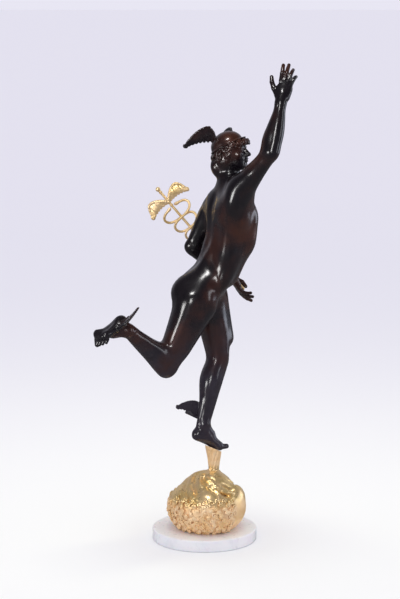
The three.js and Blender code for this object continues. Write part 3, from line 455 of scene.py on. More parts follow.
def furrows(clay):
    clay.carve(rod(ribs(0, -34, 50), ribs(0, -43, 8), 3), 10)
    clay.carve(rod(ribs(0, -43, 8), ribs(0, -43, -50), 3), 10)
    clay.carve(rod(ribs(0, -43, -50), belly(0, -43, -34), 3), 10)
    clay.carve(rod(ribs(0, 47, 30), ribs(0, 44, -4), 2), 8)
    clay.carve(rod(belly(0, 41, 34), belly(0, 40, -20), 1.5), 7)
    clay.carve(egg(belly(0, 38, -16), BELLY.all, [2.5, 4, 3]), 4)
    clay.add(rod(hips(0, 34, -30), hips(0, 36, -40), 6.5, 7.5), 8)


print("seat and furrows defined")

# %% [markdown]
# A leg is a bone with muscles round it. Those of the thigh are rods that narrow to the knee, and those
# of the calf swell and thin again, so they are spindles. Each limb has its own directions: along the
# bone, to the side that its joint bulges towards, and outwards. A thigh may be fuller at its front or
# back, as its muscles work.

# %% Legs
def limb(start, end, front, out_sign):
    """Places along a limb: at(share of its length, towards the front, outwards)."""
    axis = unit(end - start)
    front = unit(front - axis * (front @ axis))
    out = np.cross(axis, front) * out_sign

    def at(share, to_front=0.0, outwards=0.0):
        return start + (end - start) * share + front * to_front + out * outwards

    return at, [axis, out, front]


def leg(clay, joint, side, fuller):
    """A thigh and shin. The thigh may be fuller at its front and at its back, as its muscles work."""
    hip, knee, ankle = joint["hip"], joint["knee"], joint["ankle"]
    fore, back = fuller
    front = knee * 2 - hip - ankle
    th, thigh_axes = limb(hip, knee, front, -side)
    sh, shin_axes = limb(knee, ankle, front, -side)
    clay.add(rod(hip, knee, 29, 15.5), 12)
    clay.add(rod(th(0.1, 15, 3), th(0.7, 12 + fore, 1), 19, 12 + 0.4 * fore), 14)
    clay.add(rod(th(0.25, 4, 12), th(0.84, 5, 9), 16, 9), 9)
    clay.add(rod(th(0.5, 5, -8), th(0.9, 6, -9), 13, 9.5), 8)
    clay.add(rod(th(0.08, -10 - back, 4), th(0.88, -9 - 0.6 * back, 8), 18 + 0.3 * back, 6.5), 12)
    clay.add(rod(th(0.12, -9 - back, -8), th(0.92, -8 - 0.6 * back, -9), 17 + 0.3 * back, 6.5), 12)
    clay.add(rod(th(0.04, 0, -13), th(0.5, 0, -9), 18, 12), 12)
    clay.add(rod(knee, ankle, 14, 8.5), 10)
    clay.add(egg(th(0.99, 10, 0), thigh_axes, [9.5, 8.5, 7.5]), 5)
    clay.add(rod(sh(0.05, 9, 0), sh(0.2, 7, 0), 6), 6)
    clay.add(rod(sh(0.15, 6, -2), sh(0.92, 2, -2), 8, 6), 8)
    clay.add(spindle(sh(-0.04, -9, -6), sh(0.64, -9, -4), 15), 10)
    clay.add(spindle(sh(-0.04, -9, 6), sh(0.6, -9, 5), 14.5), 10)
    clay.add(spindle(sh(0.22, -5, 0), sh(0.98, -6, 0), 11), 8)
    clay.add(rod(sh(0.6, -9, 0), sh(1.02, -10, 0), 4.5, 4), 7)
    clay.add(egg(sh(0.985, 1, -8.5), shin_axes, [5, 3.6, 4.5]), 3)
    clay.add(egg(sh(1.02, -1.5, 8.5), shin_axes, [5.5, 3.4, 4]), 3)


print("legs defined")

# %% [markdown]
# The arm is slimmer and has fewer forms: the cap of the shoulder, the muscle that bends the elbow and
# the one that straightens it, the point of the elbow, and the forearm, which gets flat at the wrist.

# %% Arms
def arm(clay, joint, side):
    shoulder, elbow, wrist = joint["shoulder"], joint["elbow"], joint["wrist"]
    front = shoulder + wrist - elbow * 2
    up, upper_axes = limb(shoulder, elbow, front, -side)
    fo, _ = limb(elbow, wrist, front, -side)
    clay.add(rod(shoulder, elbow, 16, 11.5), 9)
    clay.add(rod(up(-0.02, -1, 4), up(0.36, -1, 4), 17, 12), 14)
    clay.add(rod(up(0.34, 6, 0), up(0.74, 5, 0), 12, 9.5), 8)
    clay.add(rod(up(0.22, -6, 0), up(0.76, -5, 1), 12.5, 9), 8)
    clay.add(rod(elbow, wrist, 10, 7.5), 12)
    clay.add(egg(up(1.0, -6, 0), upper_axes, [6, 5, 5]), 5)
    clay.add(spindle(up(0.8, 3, 5), fo(0.66, 2, 4), 10.5), 8)
    clay.add(spindle(fo(-0.12, 1, -4), fo(0.7, 1, -4), 11), 8)
    clay.add(spindle(fo(-0.05, -3, 0), fo(0.95, -1, 0), 11), 8)
    clay.add(rod(fo(0.85, 0, -3.5), fo(1.0, 0, -4), 6), 5)
    clay.add(rod(fo(0.85, 0, 3.5), fo(1.0, 0, 4), 6), 5)


print("arms defined")

# %% [markdown]
# A foot has directions of its own: along the sole, inwards to the big toe, and away from the sole. Its
# heel, arch and ball are a few blended forms, which is enough at this size.

# %% Axes of the feet
FEET = {
    "left": {
        "heel": at_pose(3, 39, 18),
        "ball": at_pose(-1, -2, -3),
        "sole": unit(0, 0.45, -0.89),
        "lift": 0.45,
        "toes": 13.5,
    },
    "right": {
        "heel": at_pose(7, 191, 247),
        "ball": at_pose(9, 227, 224),
        "sole": unit(-0.2, 0.45, 0.85),
        "lift": 1.15,
        "toes": 19,
    },
}


class FootAxes:
    """Places of a foot: at(along the sole, inwards, away from the sole), from under the heel."""

    def __init__(self, foot, side):
        self.heel = foot["heel"]
        self.fore = unit(foot["ball"] - foot["heel"])
        up = -foot["sole"]
        self.up = unit(up - self.fore * (up @ self.fore))
        self.inner = np.cross(self.up, self.fore) * -side
        self.all = [self.fore, self.inner, self.up]

    def at(self, fore, inner, up):
        return self.heel + self.fore * fore + self.inner * inner + self.up * up


FOOT_AXES = {name: FootAxes(FEET[name], SIDES[name]) for name in FEET}
print("left foot points", [round(float(c), 2) for c in FOOT_AXES["left"].fore])

# %% [markdown]
# The toes are two short rods each, bent a little, and every toe is shorter than the one inside it. The
# sole of the standing foot is cut flat, so that it sits on the plume.

# %% Feet
def toe(clay, axes, i, lift, length):
    """Toe i, from the big one, lifted from the sole by an angle."""
    bent = lift if i == 0 else 0.75 * lift
    ahead = axes.fore * math.cos(bent) + axes.up * math.sin(bent)
    radius = 3.4 - 0.15 * i if i else 4.7
    root = axes.at(44 - 0.55 * i * i, 9.5 - (1.2 if i else 0) - 5 * i, 5.2 if i else 6)
    tip = root + ahead * (length - 1.3 * i)
    bend = mix(root, tip, 0.5) + axes.up * (1.6 if i else 0.2)
    clay.add(rod(root, bend, radius * 0.94), 2)
    clay.add(rod(bend, tip, radius, radius * 0.9), 0.8)


def foot(clay, name):
    axes, ankle = FOOT_AXES[name], LEGS[name]["ankle"]
    at = axes.at
    clay.add(egg(at(1, 0, 11), axes.all, [12.5, 10, 12]), 5)
    clay.add(rod(at(2, 0, 14), ankle, 10, 9), 6)
    clay.add(rod(ankle, at(20, 2, 20), 8.5, 9), 7)
    clay.add(rod(at(12, 2, 18.5), at(41, 4, 7.5), 9.5, 6.5), 7)
    clay.add(rod(at(8, -5, 8), at(38, -9, 6), 7, 5.5), 6)
    clay.add(rod(at(10, 5, 12), at(43, 8, 7.5), 7), 6)
    clay.add(egg(at(40, 2, 5.5), axes.all, [10, 14, 6]), 5)
    clay.add(egg(at(41, 8.5, 4), axes.all, [7, 6, 5.5]), 3)
    clay.add(egg(at(39, -8, 4), axes.all, [8, 5, 4.5]), 3)
    clay.carve(egg(at(23, 13, -2), axes.all, [15, 8, 7.5]), 5)
    for i in range(5):
        toe(clay, axes, i, FEET[name]["lift"], FEET[name]["toes"])
    if name == "left":
        clay.carve(behind_plane(at(24, 0, 0), axes.up, 34), 2)


print("feet defined")

# %% [markdown]
# A hand is a flat palm with four fingers of three bones and a thumb. Each finger turns a little more
# towards the palm at every joint. The raised hand is open and easy, and the left hand hangs half closed
# behind the staff, which lies on its palm.

# %% Hands
class HandAxes:
    """Places of a hand: at(along, towards the thumb, out of the palm), from the wrist."""

    def __init__(self, wrist, along, palm, side):
        self.wrist = wrist
        self.along = along
        self.out = unit(palm - along * (palm @ along))
        self.thumb = np.cross(along, self.out) * -side
        self.all = [self.along, self.thumb, self.out]

    def at(self, along, thumb, out):
        return self.wrist + self.along * along + self.thumb * thumb + self.out * out


LEFT_HAND = HandAxes(ARMS["left"]["wrist"], unit(-0.19, -0.47, -0.86), unit(-0.28, -0.78, 0.56), 1)
RIGHT_HAND = HandAxes(ARMS["right"]["wrist"], unit(-0.05, -0.3, 0.95), unit(0.75, -0.63, -0.16), -1)
HAND_POSES = (
    (LEFT_HAND, (0.14, 0.2, 0.34, 0.42), 0.03, ((6, 9, 2), (15, 13, 7), (24, 9, 12.5), (33, 4, 13))),
    (RIGHT_HAND, (0.16, 0.26, 0.36, 0.44), 0.1, ((6, 8, 1), (15, 17, 3), (24, 23, 5), (32, 26, 7))),
)


def finger(clay, axes, i, length, curl, spread):
    tip = axes.at(27 + (2, 4, 3, 0)[i], 9 - 5.7 * i, -0.5)
    angle = 0
    for joint, share in enumerate((1, 0.66, 0.56)):
        angle += curl * (0.7, 1.2, 0.8)[joint]
        way = axes.along * math.cos(angle) + axes.out * math.sin(angle)
        way = way + axes.thumb * spread * (1.4 - i)
        after = tip + unit(way) * length * share
        thick = 3.7 - 0.25 * joint - 0.1 * i
        clay.add(rod(tip, after, thick, thick - 0.2), 1 if joint else 2.5)
        tip = after


def hand(clay, axes, curl, spread, thumb_path):
    at = axes.at
    clay.add(egg(at(16, 0.5, 0), axes.all, [18, 12.5, 5.8]), 5)
    clay.add(rod(at(-4, 0, 0), at(8, 0, 0), 8, 7.5), 6)
    clay.add(rod(at(6, 7, 2), at(18, 9, 2.5), 5.5, 4.5), 4)
    clay.add(rod(at(6, -7, 1.5), at(20, -8, 1.5), 5, 4.5), 4)
    for i, length in enumerate((12.4, 13.8, 12.8, 10.4)):
        finger(clay, axes, i, length, curl[i], spread)
    a, b, c, d = [at(*place) for place in thumb_path]
    clay.add(rod(a, b, 5, 4.4), 3)
    clay.add(rod(b, c, 4.3, 3.8), 1.5)
    clay.add(rod(c, d, 3.9, 3.2), 1)


print("hands defined")

# %% [markdown]
# The hair of such a figure is chased in short thick locks and tight curls. A curl is a chain of rods
# that winds in on itself on a surface, and the same helper makes the curls of cloud on the rock. A lock
# is three strands side by side that run down, swing sideways and get thinner.

# %% Curls and locks
CURL_TURN = 9.0
CURL_LIFT = 1.6


def winding_curl(clay, centre, outward, size, start, sense, thick):
    """A curl that winds in on itself on a surface, with its eye in the middle."""
    across = unit(np.cross(outward, vec(0.01, 0.02, 1)))
    up = np.cross(across, outward)
    beads = []
    for k in range(14):
        t = k / 13
        turn = start + sense * CURL_TURN * t
        out = size * (1 - 0.86 * t)
        around = across * math.cos(turn) + up * math.sin(turn)
        here = centre + around * out + outward * CURL_LIFT * t
        beads.append((here, thick * mix(1, 0.8, t)))
    chain(clay.add, beads, 0.5)


HAIR_MIDDLE = (0, -6, 0)
HAIR_RADII = (23.5, 27.5, 26)


def on_hair(turn, up, lift):
    """A place on the hair's rounded mass: turn 0 is the front, and lift is how far it stands off."""
    share = math.sqrt(max(0.25, 1 - (up / HAIR_RADII[2]) ** 2))
    left = (HAIR_RADII[0] * share + lift) * math.sin(turn)
    front = HAIR_MIDDLE[1] + (HAIR_RADII[1] * share + lift) * math.cos(turn)
    return HEAD.at(left, front, up)


def lock(clay, turn, top, drop, bend, radius):
    """A lock of three strands that lies on the hair, runs down, swings and curls at its tip."""
    for strand in (-1, 0, 1):
        beads = []
        for step in range(7):
            t = step / 6
            swing = bend * t * t + strand * 0.075 * (1 - 0.6 * t)
            up = top - drop * (t - 0.22 * max(t - 0.6, 0) / 0.4)
            here = on_hair(turn + swing, up, 0.4 + 2.4 * math.sin(math.pi * min(t, 0.75)))
            beads.append((here, radius * (1 - 0.35 * t)))
        chain(clay.add, beads, 0.6)


print("curls and locks defined")

# %% [markdown]
# The face is plain and calm, on the proportions of a drawing book: the eyes halfway down the head, the
# nose and ears between brow and mouth. Skull, jaw and chin are eggs, and the small forms get narrow
# joins, so that the lids and lips stay crisp on the finer grid round the head.

# %% Head and face
def head(clay):
    at, axes = HEAD.at, HEAD.all
    clay.add(rod(CHEST.at(0, -6, 46), at(0, -9, -12), 18, 16.5), 12)
    for side in (-1, 1):
        clay.add(rod(CHEST.at(6 + side * 4, 18, 48), at(side * 15, -6, -12), 5.5), 8)
    clay.add(egg(at(0, -4, 8), axes, [21, 26.5, 23]), 6)
    clay.add(egg(at(0, 8, -9), axes, [16, 17, 22]), 6)
    clay.add(egg(at(0, 17, -26), axes, [6.5, 5.5, 5]), 5)
    clay.add(rod(at(-9.5, 20.5, 4.5), at(9.5, 20.5, 4.5), 3.6), 4)
    for side in (-1, 1):
        clay.add(rod(at(side * 14.5, -2, -13), at(side * 6, 14, -25), 5.5, 5), 6)
        clay.add(egg(at(side * 11, 15.5, -6), axes, [6, 5, 5]), 4)
        clay.carve(egg(at(side * 8.6, 25, -0.5), axes, [5.5, 4, 3.4]), 3)
        clay.add(egg(at(side * 8.6, 19.5, -0.5), axes, [4.4, 4.4, 4.4]), 1.5)
        clay.add(egg(at(side * 21, -2, -2), axes, [2.2, 4, 6.5]), 2)
        clay.add(rod(at(side * 5, 22.6, 1.6), at(side * 12, 21, 1.4), 0.9), 0.8)
        clay.add(rod(at(side * 5.4, 22.4, -2.6), at(side * 12, 20.6, -2.4), 0.8), 0.8)
    clay.add(rod(at(0, 23, 3), at(0, 30, -8.5), 2.4, 3), 3)
    clay.add(rod(at(-3.4, 25.5, -9.5), at(3.4, 25.5, -9.5), 2.6), 2)
    clay.add(egg(at(0, 23.4, -15), axes, [6.6, 3.2, 1.8]), 1.5)
    clay.add(egg(at(0, 22.6, -18.6), axes, [5.2, 3.2, 2]), 1.5)
    clay.carve(rod(at(-5.5, 26, -16.7), at(5.5, 26, -16.7), 0.7), 0.8)


print("head defined")

# %% [markdown]
# The hair is laid in four rows of locks round the back and sides, under the brim, with a row of curls
# over the brow. Seeded chance makes each lock a little different, and the same on every run. The cap
# sits well back, and its thin brim rises to the front.

# %% Hair and cap
def hair_mass(clay):
    """The rounded mass under the locks, open at the face and full at the nape."""
    clay.add(egg(HEAD.at(*HAIR_MIDDLE), HEAD.all, HAIR_RADII), 3)
    clay.carve(egg(HEAD.at(0, 24, -10), HEAD.all, [17, 22, 22]), 3)
    clay.add(egg(HEAD.at(0, -29, -20), HEAD.all, [17, 11.5, 17]), 6)


def hair(clay):
    rng = np.random.default_rng(7)
    for row, (widest, count) in enumerate(((2.75, 17), (1.95, 13), (1.75, 11), (1.1, 7))):
        for i in range(count):
            share = (i + 0.5 * (row % 2)) / (count - 1 + 0.5 * (row % 2))
            turn = math.pi + mix(-widest, widest, share)
            brim = 9 + 8.5 * math.cos(turn)
            bend = (0.2 + 0.12 * rng.random()) * (1 if i % 2 else -1)
            lock(clay, turn, brim - 1 - 8.5 * row, 12.5, bend, 2.0 + 0.25 * rng.random())
    for i in range(7):
        turn = mix(-1.15, 1.15, i / 6)
        centre = HEAD.at(20 * math.sin(turn), -3 + 31 * math.cos(turn), 13)
        outward = unit(HEAD.left * math.sin(turn) + HEAD.front * math.cos(turn) + HEAD.up * 0.25)
        clay.add(egg(centre, HEAD.all, [6, 6, 5.5]), 1.5)
        winding_curl(clay, centre + outward * 3.6, outward, 5.2, 1.5 * i, 1 if i % 2 else -1, 1.7)


def cap(clay):
    """A round dome and a thin brim that rises to the front."""
    at = HEAD.at
    up = unit(HEAD.up - HEAD.front * 0.3)
    axes = [HEAD.left, -np.cross(up, HEAD.left), up]
    clay.add(egg(at(0, -6, 13), axes, [24.5, 28.5, 23]), 1)
    clay.add(egg(at(0, -4, 12.5), axes, [28.5, 33, 2.8]), 1.2)


print("hair and cap defined")

# %% [markdown]
# A wing is thin, with its long feathers laid side by side from the root to the tip and a second and a
# third row of shorter ones over them. Every feather is a flat egg with a groove along its middle. A
# thicker rim runs along the leading edge, as the arm of a real wing does.

# %% A wing
CAP_WING = {"length": 57, "height": 30, "peak": 0.2, "feathers": 8}
ANKLE_WING = {"length": 49, "height": 25, "peak": 0.32, "feathers": 7}
FEATHER_THICKNESS = 3.2


def wing(clay, root, across, rise, shape):
    length, height, peak, feathers = (shape[key] for key in ("length", "height", "peak", "feathers"))
    x = unit(across)
    y = unit(rise - x * (rise @ x))
    z = np.cross(x, y)

    def place(along, up):
        return root + x * along * length + y * up * height

    def edge(t):
        """Leading edge from the root over its peak to the tip."""
        if t < peak:
            turn = math.pi / 2 * t / peak
            return t - 0.05 * math.cos(turn), math.sin(turn)
        turn = math.pi / 2 * (t - peak) / (1 - peak)
        return t, 0.04 + 0.96 * math.cos(turn) ** 0.8

    for row, share in enumerate((1.0, 0.66, 0.38)):
        count = feathers - row
        for i in range(count):
            t = mix(0.02, 1.0, (i + 0.7) / count)
            top = edge(t * share + 0.04 * row)
            low_along = mix(0.02, 1.0, (i + 0.5) / count) * share
            low_up = 0.12 * math.sin(math.pi * t) + 0.14 * row
            start = place(mix(low_along, top[0], 0.8) * 0.96, mix(low_up, top[1], 0.86))
            end = place(low_along + 0.02, low_up + 0.02)
            run = unit(end - start)
            half = np.linalg.norm(end - start) / 2 + 1.5
            flat = np.cross(z, run)
            wide = 0.62 * length * share / count + 0.6
            thick = FEATHER_THICKNESS * (0.5 + 0.16 * row)
            middle = (start + end) / 2
            clay.add(egg(middle, [run, flat, z], [half, wide, thick]), 0.6)
            for face in (-1, 1):
                rib = z * face * thick
                clay.carve(rod(start + rib, end - run * 2 + rib, 0.45), 0.5)
    rim = []
    for k in range(13):
        t = k / 12
        along, up = edge(t)
        rim.append((place(along * 0.97, up * 0.93), 2.3 - 0.9 * t, 2.2 - 0.9 * t))
    chain(clay.add, rim, 1.5)


print("wing defined")

# %% [markdown]
# The wings of the cap sweep back and outwards, and those of the ankles lie along the outer side of the
# foot. A quill ties each ankle wing to its foot, so that the two are one casting.

# %% Wings of the cap and ankles
FOOT_WINGS = {
    "left": {"root": (-6, -7, 38), "sweep": (-1, -0.1, 0), "rise": (0, 0, 1), "quill": 2.6},
    "right": {
        "root": (15, -10, 9),
        "sweep": (-0.95, -0.1, -0.2),
        "rise": (0.3, -0.8, -0.45),
        "quill": 4.8,
    },
}


def all_wings(clay):
    for side in (-1, 1):
        out = HEAD.left * side
        root = HEAD.at(side * 20, -11 + 7 * side, 17 - 4 * side)
        wing(clay, root, HEAD.front * -0.76 + out * 0.65, HEAD.up + out * 0.35, CAP_WING)
    for name, place in FOOT_WINGS.items():
        axes = FOOT_AXES[name]
        sweep, rise = [axes.at(*place[way]) - axes.heel for way in ("sweep", "rise")]
        root = axes.at(*place["root"])
        wing(clay, root, sweep, rise, ANKLE_WING)
        clay.add(rod(root, root + unit(sweep) * 0.55 * ANKLE_WING["length"], place["quill"], 2.2), 3)


print("wings defined")

# %% [markdown]
# Now the figure is built from all its forms and cast. Smoothing the clay between the steps takes out
# the creases where muscles meet. The hand's bore for the staff is cut last, with the same clearance as
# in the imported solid, so the caduceus slides in without touching.

# %% Figure
STAFF_RADIUS = 2.3
STAFF_END = LEFT_HAND.at(36, 2, 7.5)
STAFF_TOP = at_pose(126, 33, 439)
STAFF_UP = unit(STAFF_TOP - STAFF_END)
BODY_GRID = 0.9
HEAD_GRID = 0.6
THIGHS = {"left": (8, 0), "right": (0, 6)}


def figure_clay():
    """A block that holds the whole figure, with a finer grid round the head."""
    low, high = [np.array(corner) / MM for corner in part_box("figure")]
    low, high = low - 6, high + 6
    fine = list(zip(HEAD.origin - [38, 52, 36], HEAD.origin + [38, 40, 46]))
    return Clay(*[grid_line(low[i], high[i], BODY_GRID, fine[i], HEAD_GRID) for i in range(3)])


def body(clay):
    for part in (trunk_blocks, back_muscles, raised_shoulder, front_muscles, seat, furrows):
        part(clay)
    clay.smooth(5, 4, 3, 2)
    for name in SIDES:
        leg(clay, LEGS[name], SIDES[name], THIGHS[name])
        arm(clay, ARMS[name], SIDES[name])
    upper = ARMS["right"]
    link = mix(upper["shoulder"], upper["elbow"], 0.16)
    clay.add(rod(ribs(-33, -12, -6), link, 11, 10), 16)
    clay.add(rod(ribs(-26, 14, 10), link, 10, 9), 12)
    clay.smooth(4, 3, 2)


def figure():
    clay = figure_clay()
    body(clay)
    for name in FEET:
        foot(clay, name)
    hair_mass(clay)
    head(clay)
    hair(clay)
    cap(clay)
    for axes, curl, spread, thumb_path in HAND_POSES:
        hand(clay, axes, curl, spread, thumb_path)
    all_wings(clay)
    bore = rod(STAFF_END, STAFF_END + STAFF_UP * 120, STAFF_RADIUS + FIT_GAP)
    clay.carve(bore, 0.1)
    print("clay of", clay.field.size // 1000000, "million cells")
    return cast(clay, "figure_bronze")


figure_bronze = figure()
hold(figure_bronze, "figure")

# %% [markdown]
# The gilt rock is a rounded lump with the cloud of a wind round it: smooth billows and ridges above,
# and small curls below. It could be modelled in wax, and cast and gilded in one with its plume. First
# comes the lump, with a shoulder that rises to the plume, billows laid on and hollows pressed in.

# %% Rock
ROCK_RADIUS = 65
ROCK_MIDDLE = 0.36
ROCK_HALF = 0.5
ROCK_WIDE = 1.03
ROCK_CENTRE = vec(-3, -4, marble_top + ROCK_MIDDLE * ROCK_HEIGHT)
UP = vec(0, 0, 1)
SQUARE = list(np.eye(3))
BILLOWS = (
    (4.0, 0.62, 0.57, [24, 24, 20]), (2.6, 0.58, 0.6, [22, 20, 16]),
    (1.2, 0.6, 0.54, [24, 24, 18]), (5.4, 0.55, 0.62, [22, 22, 16]),
)
HOLLOWS = (
    (3.35, 0.74, 0.74, [15, 15, 11]), (4.5, 0.88, 0.78, [13, 13, 18]),
    (2.0, 0.8, 0.77, [14, 14, 12]), (0.2, 0.82, 0.78, [15, 15, 14]),
)


def rock_place(turn, out, up):
    """A place of the rock: turn round it, and out and up as shares of its radius and height."""
    return vec(
        ROCK_CENTRE[0] + ROCK_RADIUS * out * math.cos(turn),
        ROCK_CENTRE[1] + ROCK_RADIUS * out * math.sin(turn),
        marble_top + ROCK_HEIGHT * up,
    )


def rock_lump(clay):
    wide = ROCK_WIDE * ROCK_RADIUS
    clay.add(egg(ROCK_CENTRE, SQUARE, [wide, wide, ROCK_HALF * ROCK_HEIGHT]), 4)
    shoulder = vec(0.6 * PLUME[0], 0.6 * PLUME[1], marble_top + 0.68 * ROCK_HEIGHT)
    shoulder_radii = [0.56 * ROCK_RADIUS, 0.56 * ROCK_RADIUS, 0.3 * ROCK_HEIGHT]
    clay.add(egg(shoulder, SQUARE, shoulder_radii), 14)
    neck = vec(PLUME[0], PLUME[1], marble_top + 0.75 * ROCK_HEIGHT)
    clay.add(rod(neck, PLUME - UP * 12, 24, 13), 10)
    for turn, out, up, size in BILLOWS:
        clay.add(egg(rock_place(turn, out, up), SQUARE, size), 9)
    for turn, out, up, size in HOLLOWS:
        clay.carve(egg(rock_place(turn, out, up), SQUARE, size), 8)


print("rock", 2 * ROCK_RADIUS, "mm wide and", ROCK_HEIGHT, "mm high")

# %% [markdown]
# The cloud is blown round the upper rock. Ridges sweep down from the foot of the plume, with sharp
# hollows between them and short curved folds over them. The folds start a golden angle apart, as the
# seeds of a sunflower do, so that they spread evenly and never line up.

# %% Streams, creases and folds
GOLDEN_ANGLE = math.pi * (3 - math.sqrt(5))
STREAMS = (
    (2.9, 1.5, 0.86, 8), (3.9, 1.3, 0.9, 9), (5.0, 1.2, 0.88, 8),
    (0.1, 1.3, 0.86, 8), (1.6, 1.1, 0.84, 9),
)
CREASES = ((3.35, 1.3, 1.0), (4.4, 1.2, 1.02), (5.5, 1.2, 1.0), (0.75, 1.2, 1.0), (2.1, 1.15, 1.0))
FOLD_COUNT = 22


def blown(work, start, sweep, outs, lowest, radii, blend):
    """A chain that sweeps down and out from the foot of the plume, and grows thicker."""
    beads = []
    for k in range(9):
        t = k / 8
        here = rock_place(start + sweep * t, mix(*outs, t), mix(0.93, lowest, t ** 1.3))
        beads.append((here, mix(*radii, t)))
    chain(work, beads, blend)


def streams(clay):
    for start, sweep, end_out, thick in STREAMS:
        blown(clay.add, start, sweep, (0.16, end_out), 0.5, (5, thick), 5)


def creases(clay):
    for start, sweep, end_out in CREASES:
        blown(clay.carve, start, sweep, (0.3, end_out), 0.56, (2.5, 4), 4)


def folds(clay):
    """Short curved folds of cloud between the streams, thicker in their middle."""
    for i in range(FOLD_COUNT):
        beads = []
        for k in range(7):
            t = 0.1 + 0.6 * i / FOLD_COUNT + 0.045 * k
            turn = GOLDEN_ANGLE * i + 0.11 * k
            out = mix(0.16, 0.87, t) + 0.05 + 0.02 * math.sin(math.pi * k / 6)
            here = rock_place(turn, out, mix(0.94, 0.52, t ** 1.3))
            beads.append((here, 2.2 + 2.0 * math.sin(math.pi * k / 7)))
        chain(clay.add, beads, 2.5)


print("streams", len(STREAMS), "creases", len(CREASES), "folds", FOLD_COUNT)

# %% [markdown]
# The lower rock is covered with small curls of cloud, except on one smooth side. The golden angle from
# one to the next packs them in no rows, and seeded chance turns and sizes each one.

# %% Curls of cloud
SMOOTH_SIDE = 4.0
SMOOTH_SPREAD = 0.62
CURL_COUNT = 300
CURL_TOP = 0.62


def rock_out(up):
    """How far out the rock reaches at a height, as a share of its radius."""
    return ROCK_WIDE * math.sqrt(max(0.08, 1 - ((up - ROCK_MIDDLE) / ROCK_HALF) ** 2))


def curls(clay):
    rng = np.random.default_rng(3)
    for i in range(CURL_COUNT):
        up = CURL_TOP * (i + 0.8) / CURL_COUNT
        turn = i * GOLDEN_ANGLE + rng.uniform(-0.03, 0.03)
        off = turn - SMOOTH_SIDE
        from_smooth = abs(math.atan2(math.sin(off), math.cos(off)))
        if from_smooth < SMOOTH_SPREAD + 0.1 * math.sin(5 * up):
            continue
        centre = rock_place(turn, rock_out(up), up)
        outward = unit(centre - ROCK_CENTRE)
        centre = centre + outward * rng.uniform(0.6, 2.6)
        size = rng.uniform(3.8, 5.6)
        start = rng.uniform(0, 2 * math.pi)
        sense = rng.choice([-1, 1])
        winding_curl(clay, centre, outward, size, start, sense, 1.3)


print("up to", CURL_COUNT, "curls")

# %% [markdown]
# The plume is turned like a cup: narrow where it leaves the rock, flared under the foot, with shallow
# twisted streaks. The plane of the sole cuts its top, a hair below the foot, so that the two only just
# don't touch. Rock and plume are cast as one piece, because the photo shows no seam.

# %% Plume, and casting the mount
PLUME_FOOT_RADIUS = 8.5
PLUME_HEAD_RADIUS = 15.5
PLUME_FLARE = 1.4
PLUME_TWIST = 0.9
PLUME_STREAKS = 11
PLUME_STEPS = 14
ROCK_GRID = 0.95


def plume_radius(t):
    return mix(PLUME_FOOT_RADIUS, PLUME_HEAD_RADIUS, t ** PLUME_FLARE)


def plume(clay):
    tall = PLUME_HEIGHT + 10
    for k in range(PLUME_STEPS):
        t0, t1 = k / PLUME_STEPS, (k + 1) / PLUME_STEPS
        low, high = PLUME + UP * tall * t0, PLUME + UP * tall * t1
        clay.add(rod(low, high, plume_radius(t0), plume_radius(t1)), 2)
    for i in range(PLUME_STREAKS):
        beads = []
        for k in range(9):
            t = k / 8
            turn = 2 * math.pi * i / PLUME_STREAKS + PLUME_TWIST * t
            out = plume_radius(t) + 0.5
            here = PLUME + vec(out * math.cos(turn), out * math.sin(turn), (PLUME_HEIGHT + 8) * t)
            beads.append((here, 0.9, 1.3))
        chain(clay.carve, beads, 1.2)
    axes = FOOT_AXES["left"]
    sole = axes.at(34, 0, 0) - axes.up * FIT_GAP
    clay.carve(behind_plane(sole, -axes.up, 60), 0.1)


def gilt_mount():
    low, high = [np.array(corner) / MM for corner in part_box("gilt_mount")]
    clay = Clay(*[grid_line(low[i] - 5, high[i] + 5, ROCK_GRID) for i in range(3)])
    rock_lump(clay)
    streams(clay)
    clay.smooth(2, 1)
    creases(clay)
    folds(clay)
    curls(clay)
    clay.carve(behind_plane(vec(0, 0, marble_top), UP, 2 * ROCK_RADIUS), 0.1)
    plume(clay)
    return cast(clay, "gilt_rock")


gilt_rock = gilt_mount()
hold(gilt_rock, "gilt_mount")

# %% [markdown]
# The caduceus is small and thin, so it gets a fine grid of its own, laid along the staff instead of the
# room. Two snakes wind up the staff in loops that widen to the top, and a pair of wings sits under the
# knob. It is modelled upright, and the finished mesh is turned into the hand.

# %% Snakes
STAFF_LENGTH = float(np.linalg.norm(STAFF_TOP - STAFF_END))
SNAKE_RADIUS = 2.2
SNAKE_LOOP = 28
SNAKE_TOP = 42
SNAKE_LENGTH = 92
SNAKE_STEPS = 56


def snake(clay, side):
    """From a small head below the wings it winds down in loops that narrow to the tail."""
    beads = []
    thick = SNAKE_RADIUS
    for i in range(SNAKE_STEPS + 1):
        t = i / SNAKE_STEPS
        turn = mix(-1.2, 3.5 * math.pi, t)
        place = vec(
            side * SNAKE_LOOP * (1 - 0.65 * t) * math.cos(turn),
            STAFF_LENGTH - SNAKE_TOP - SNAKE_LENGTH * t - 3.4 * math.sin(2 * turn),
            side * (STAFF_RADIUS + 0.7 * SNAKE_RADIUS) * math.sin(turn),
        )
        before, thick = thick, SNAKE_RADIUS * (1 - 0.45 * t ** 2)
        beads.append((place, before, thick))
    chain(clay.add, beads, 0.4)
    neck = beads[0][0]
    way = unit(neck - beads[2][0])
    flat = unit(np.cross(way, vec(0, 0, 1)))
    clay.add(egg(neck + way * 2.2, [way, flat, np.cross(way, flat)], [4.6, 3.0, 2.2]), 1)


print("staff", round(STAFF_LENGTH), "mm long")

# %% [markdown]
# The staff gets its knob, three turned rings, the wings and the snakes, and is cast. Then the corners
# and the normals are both turned by the same three axes, which keeps the polish as it was.

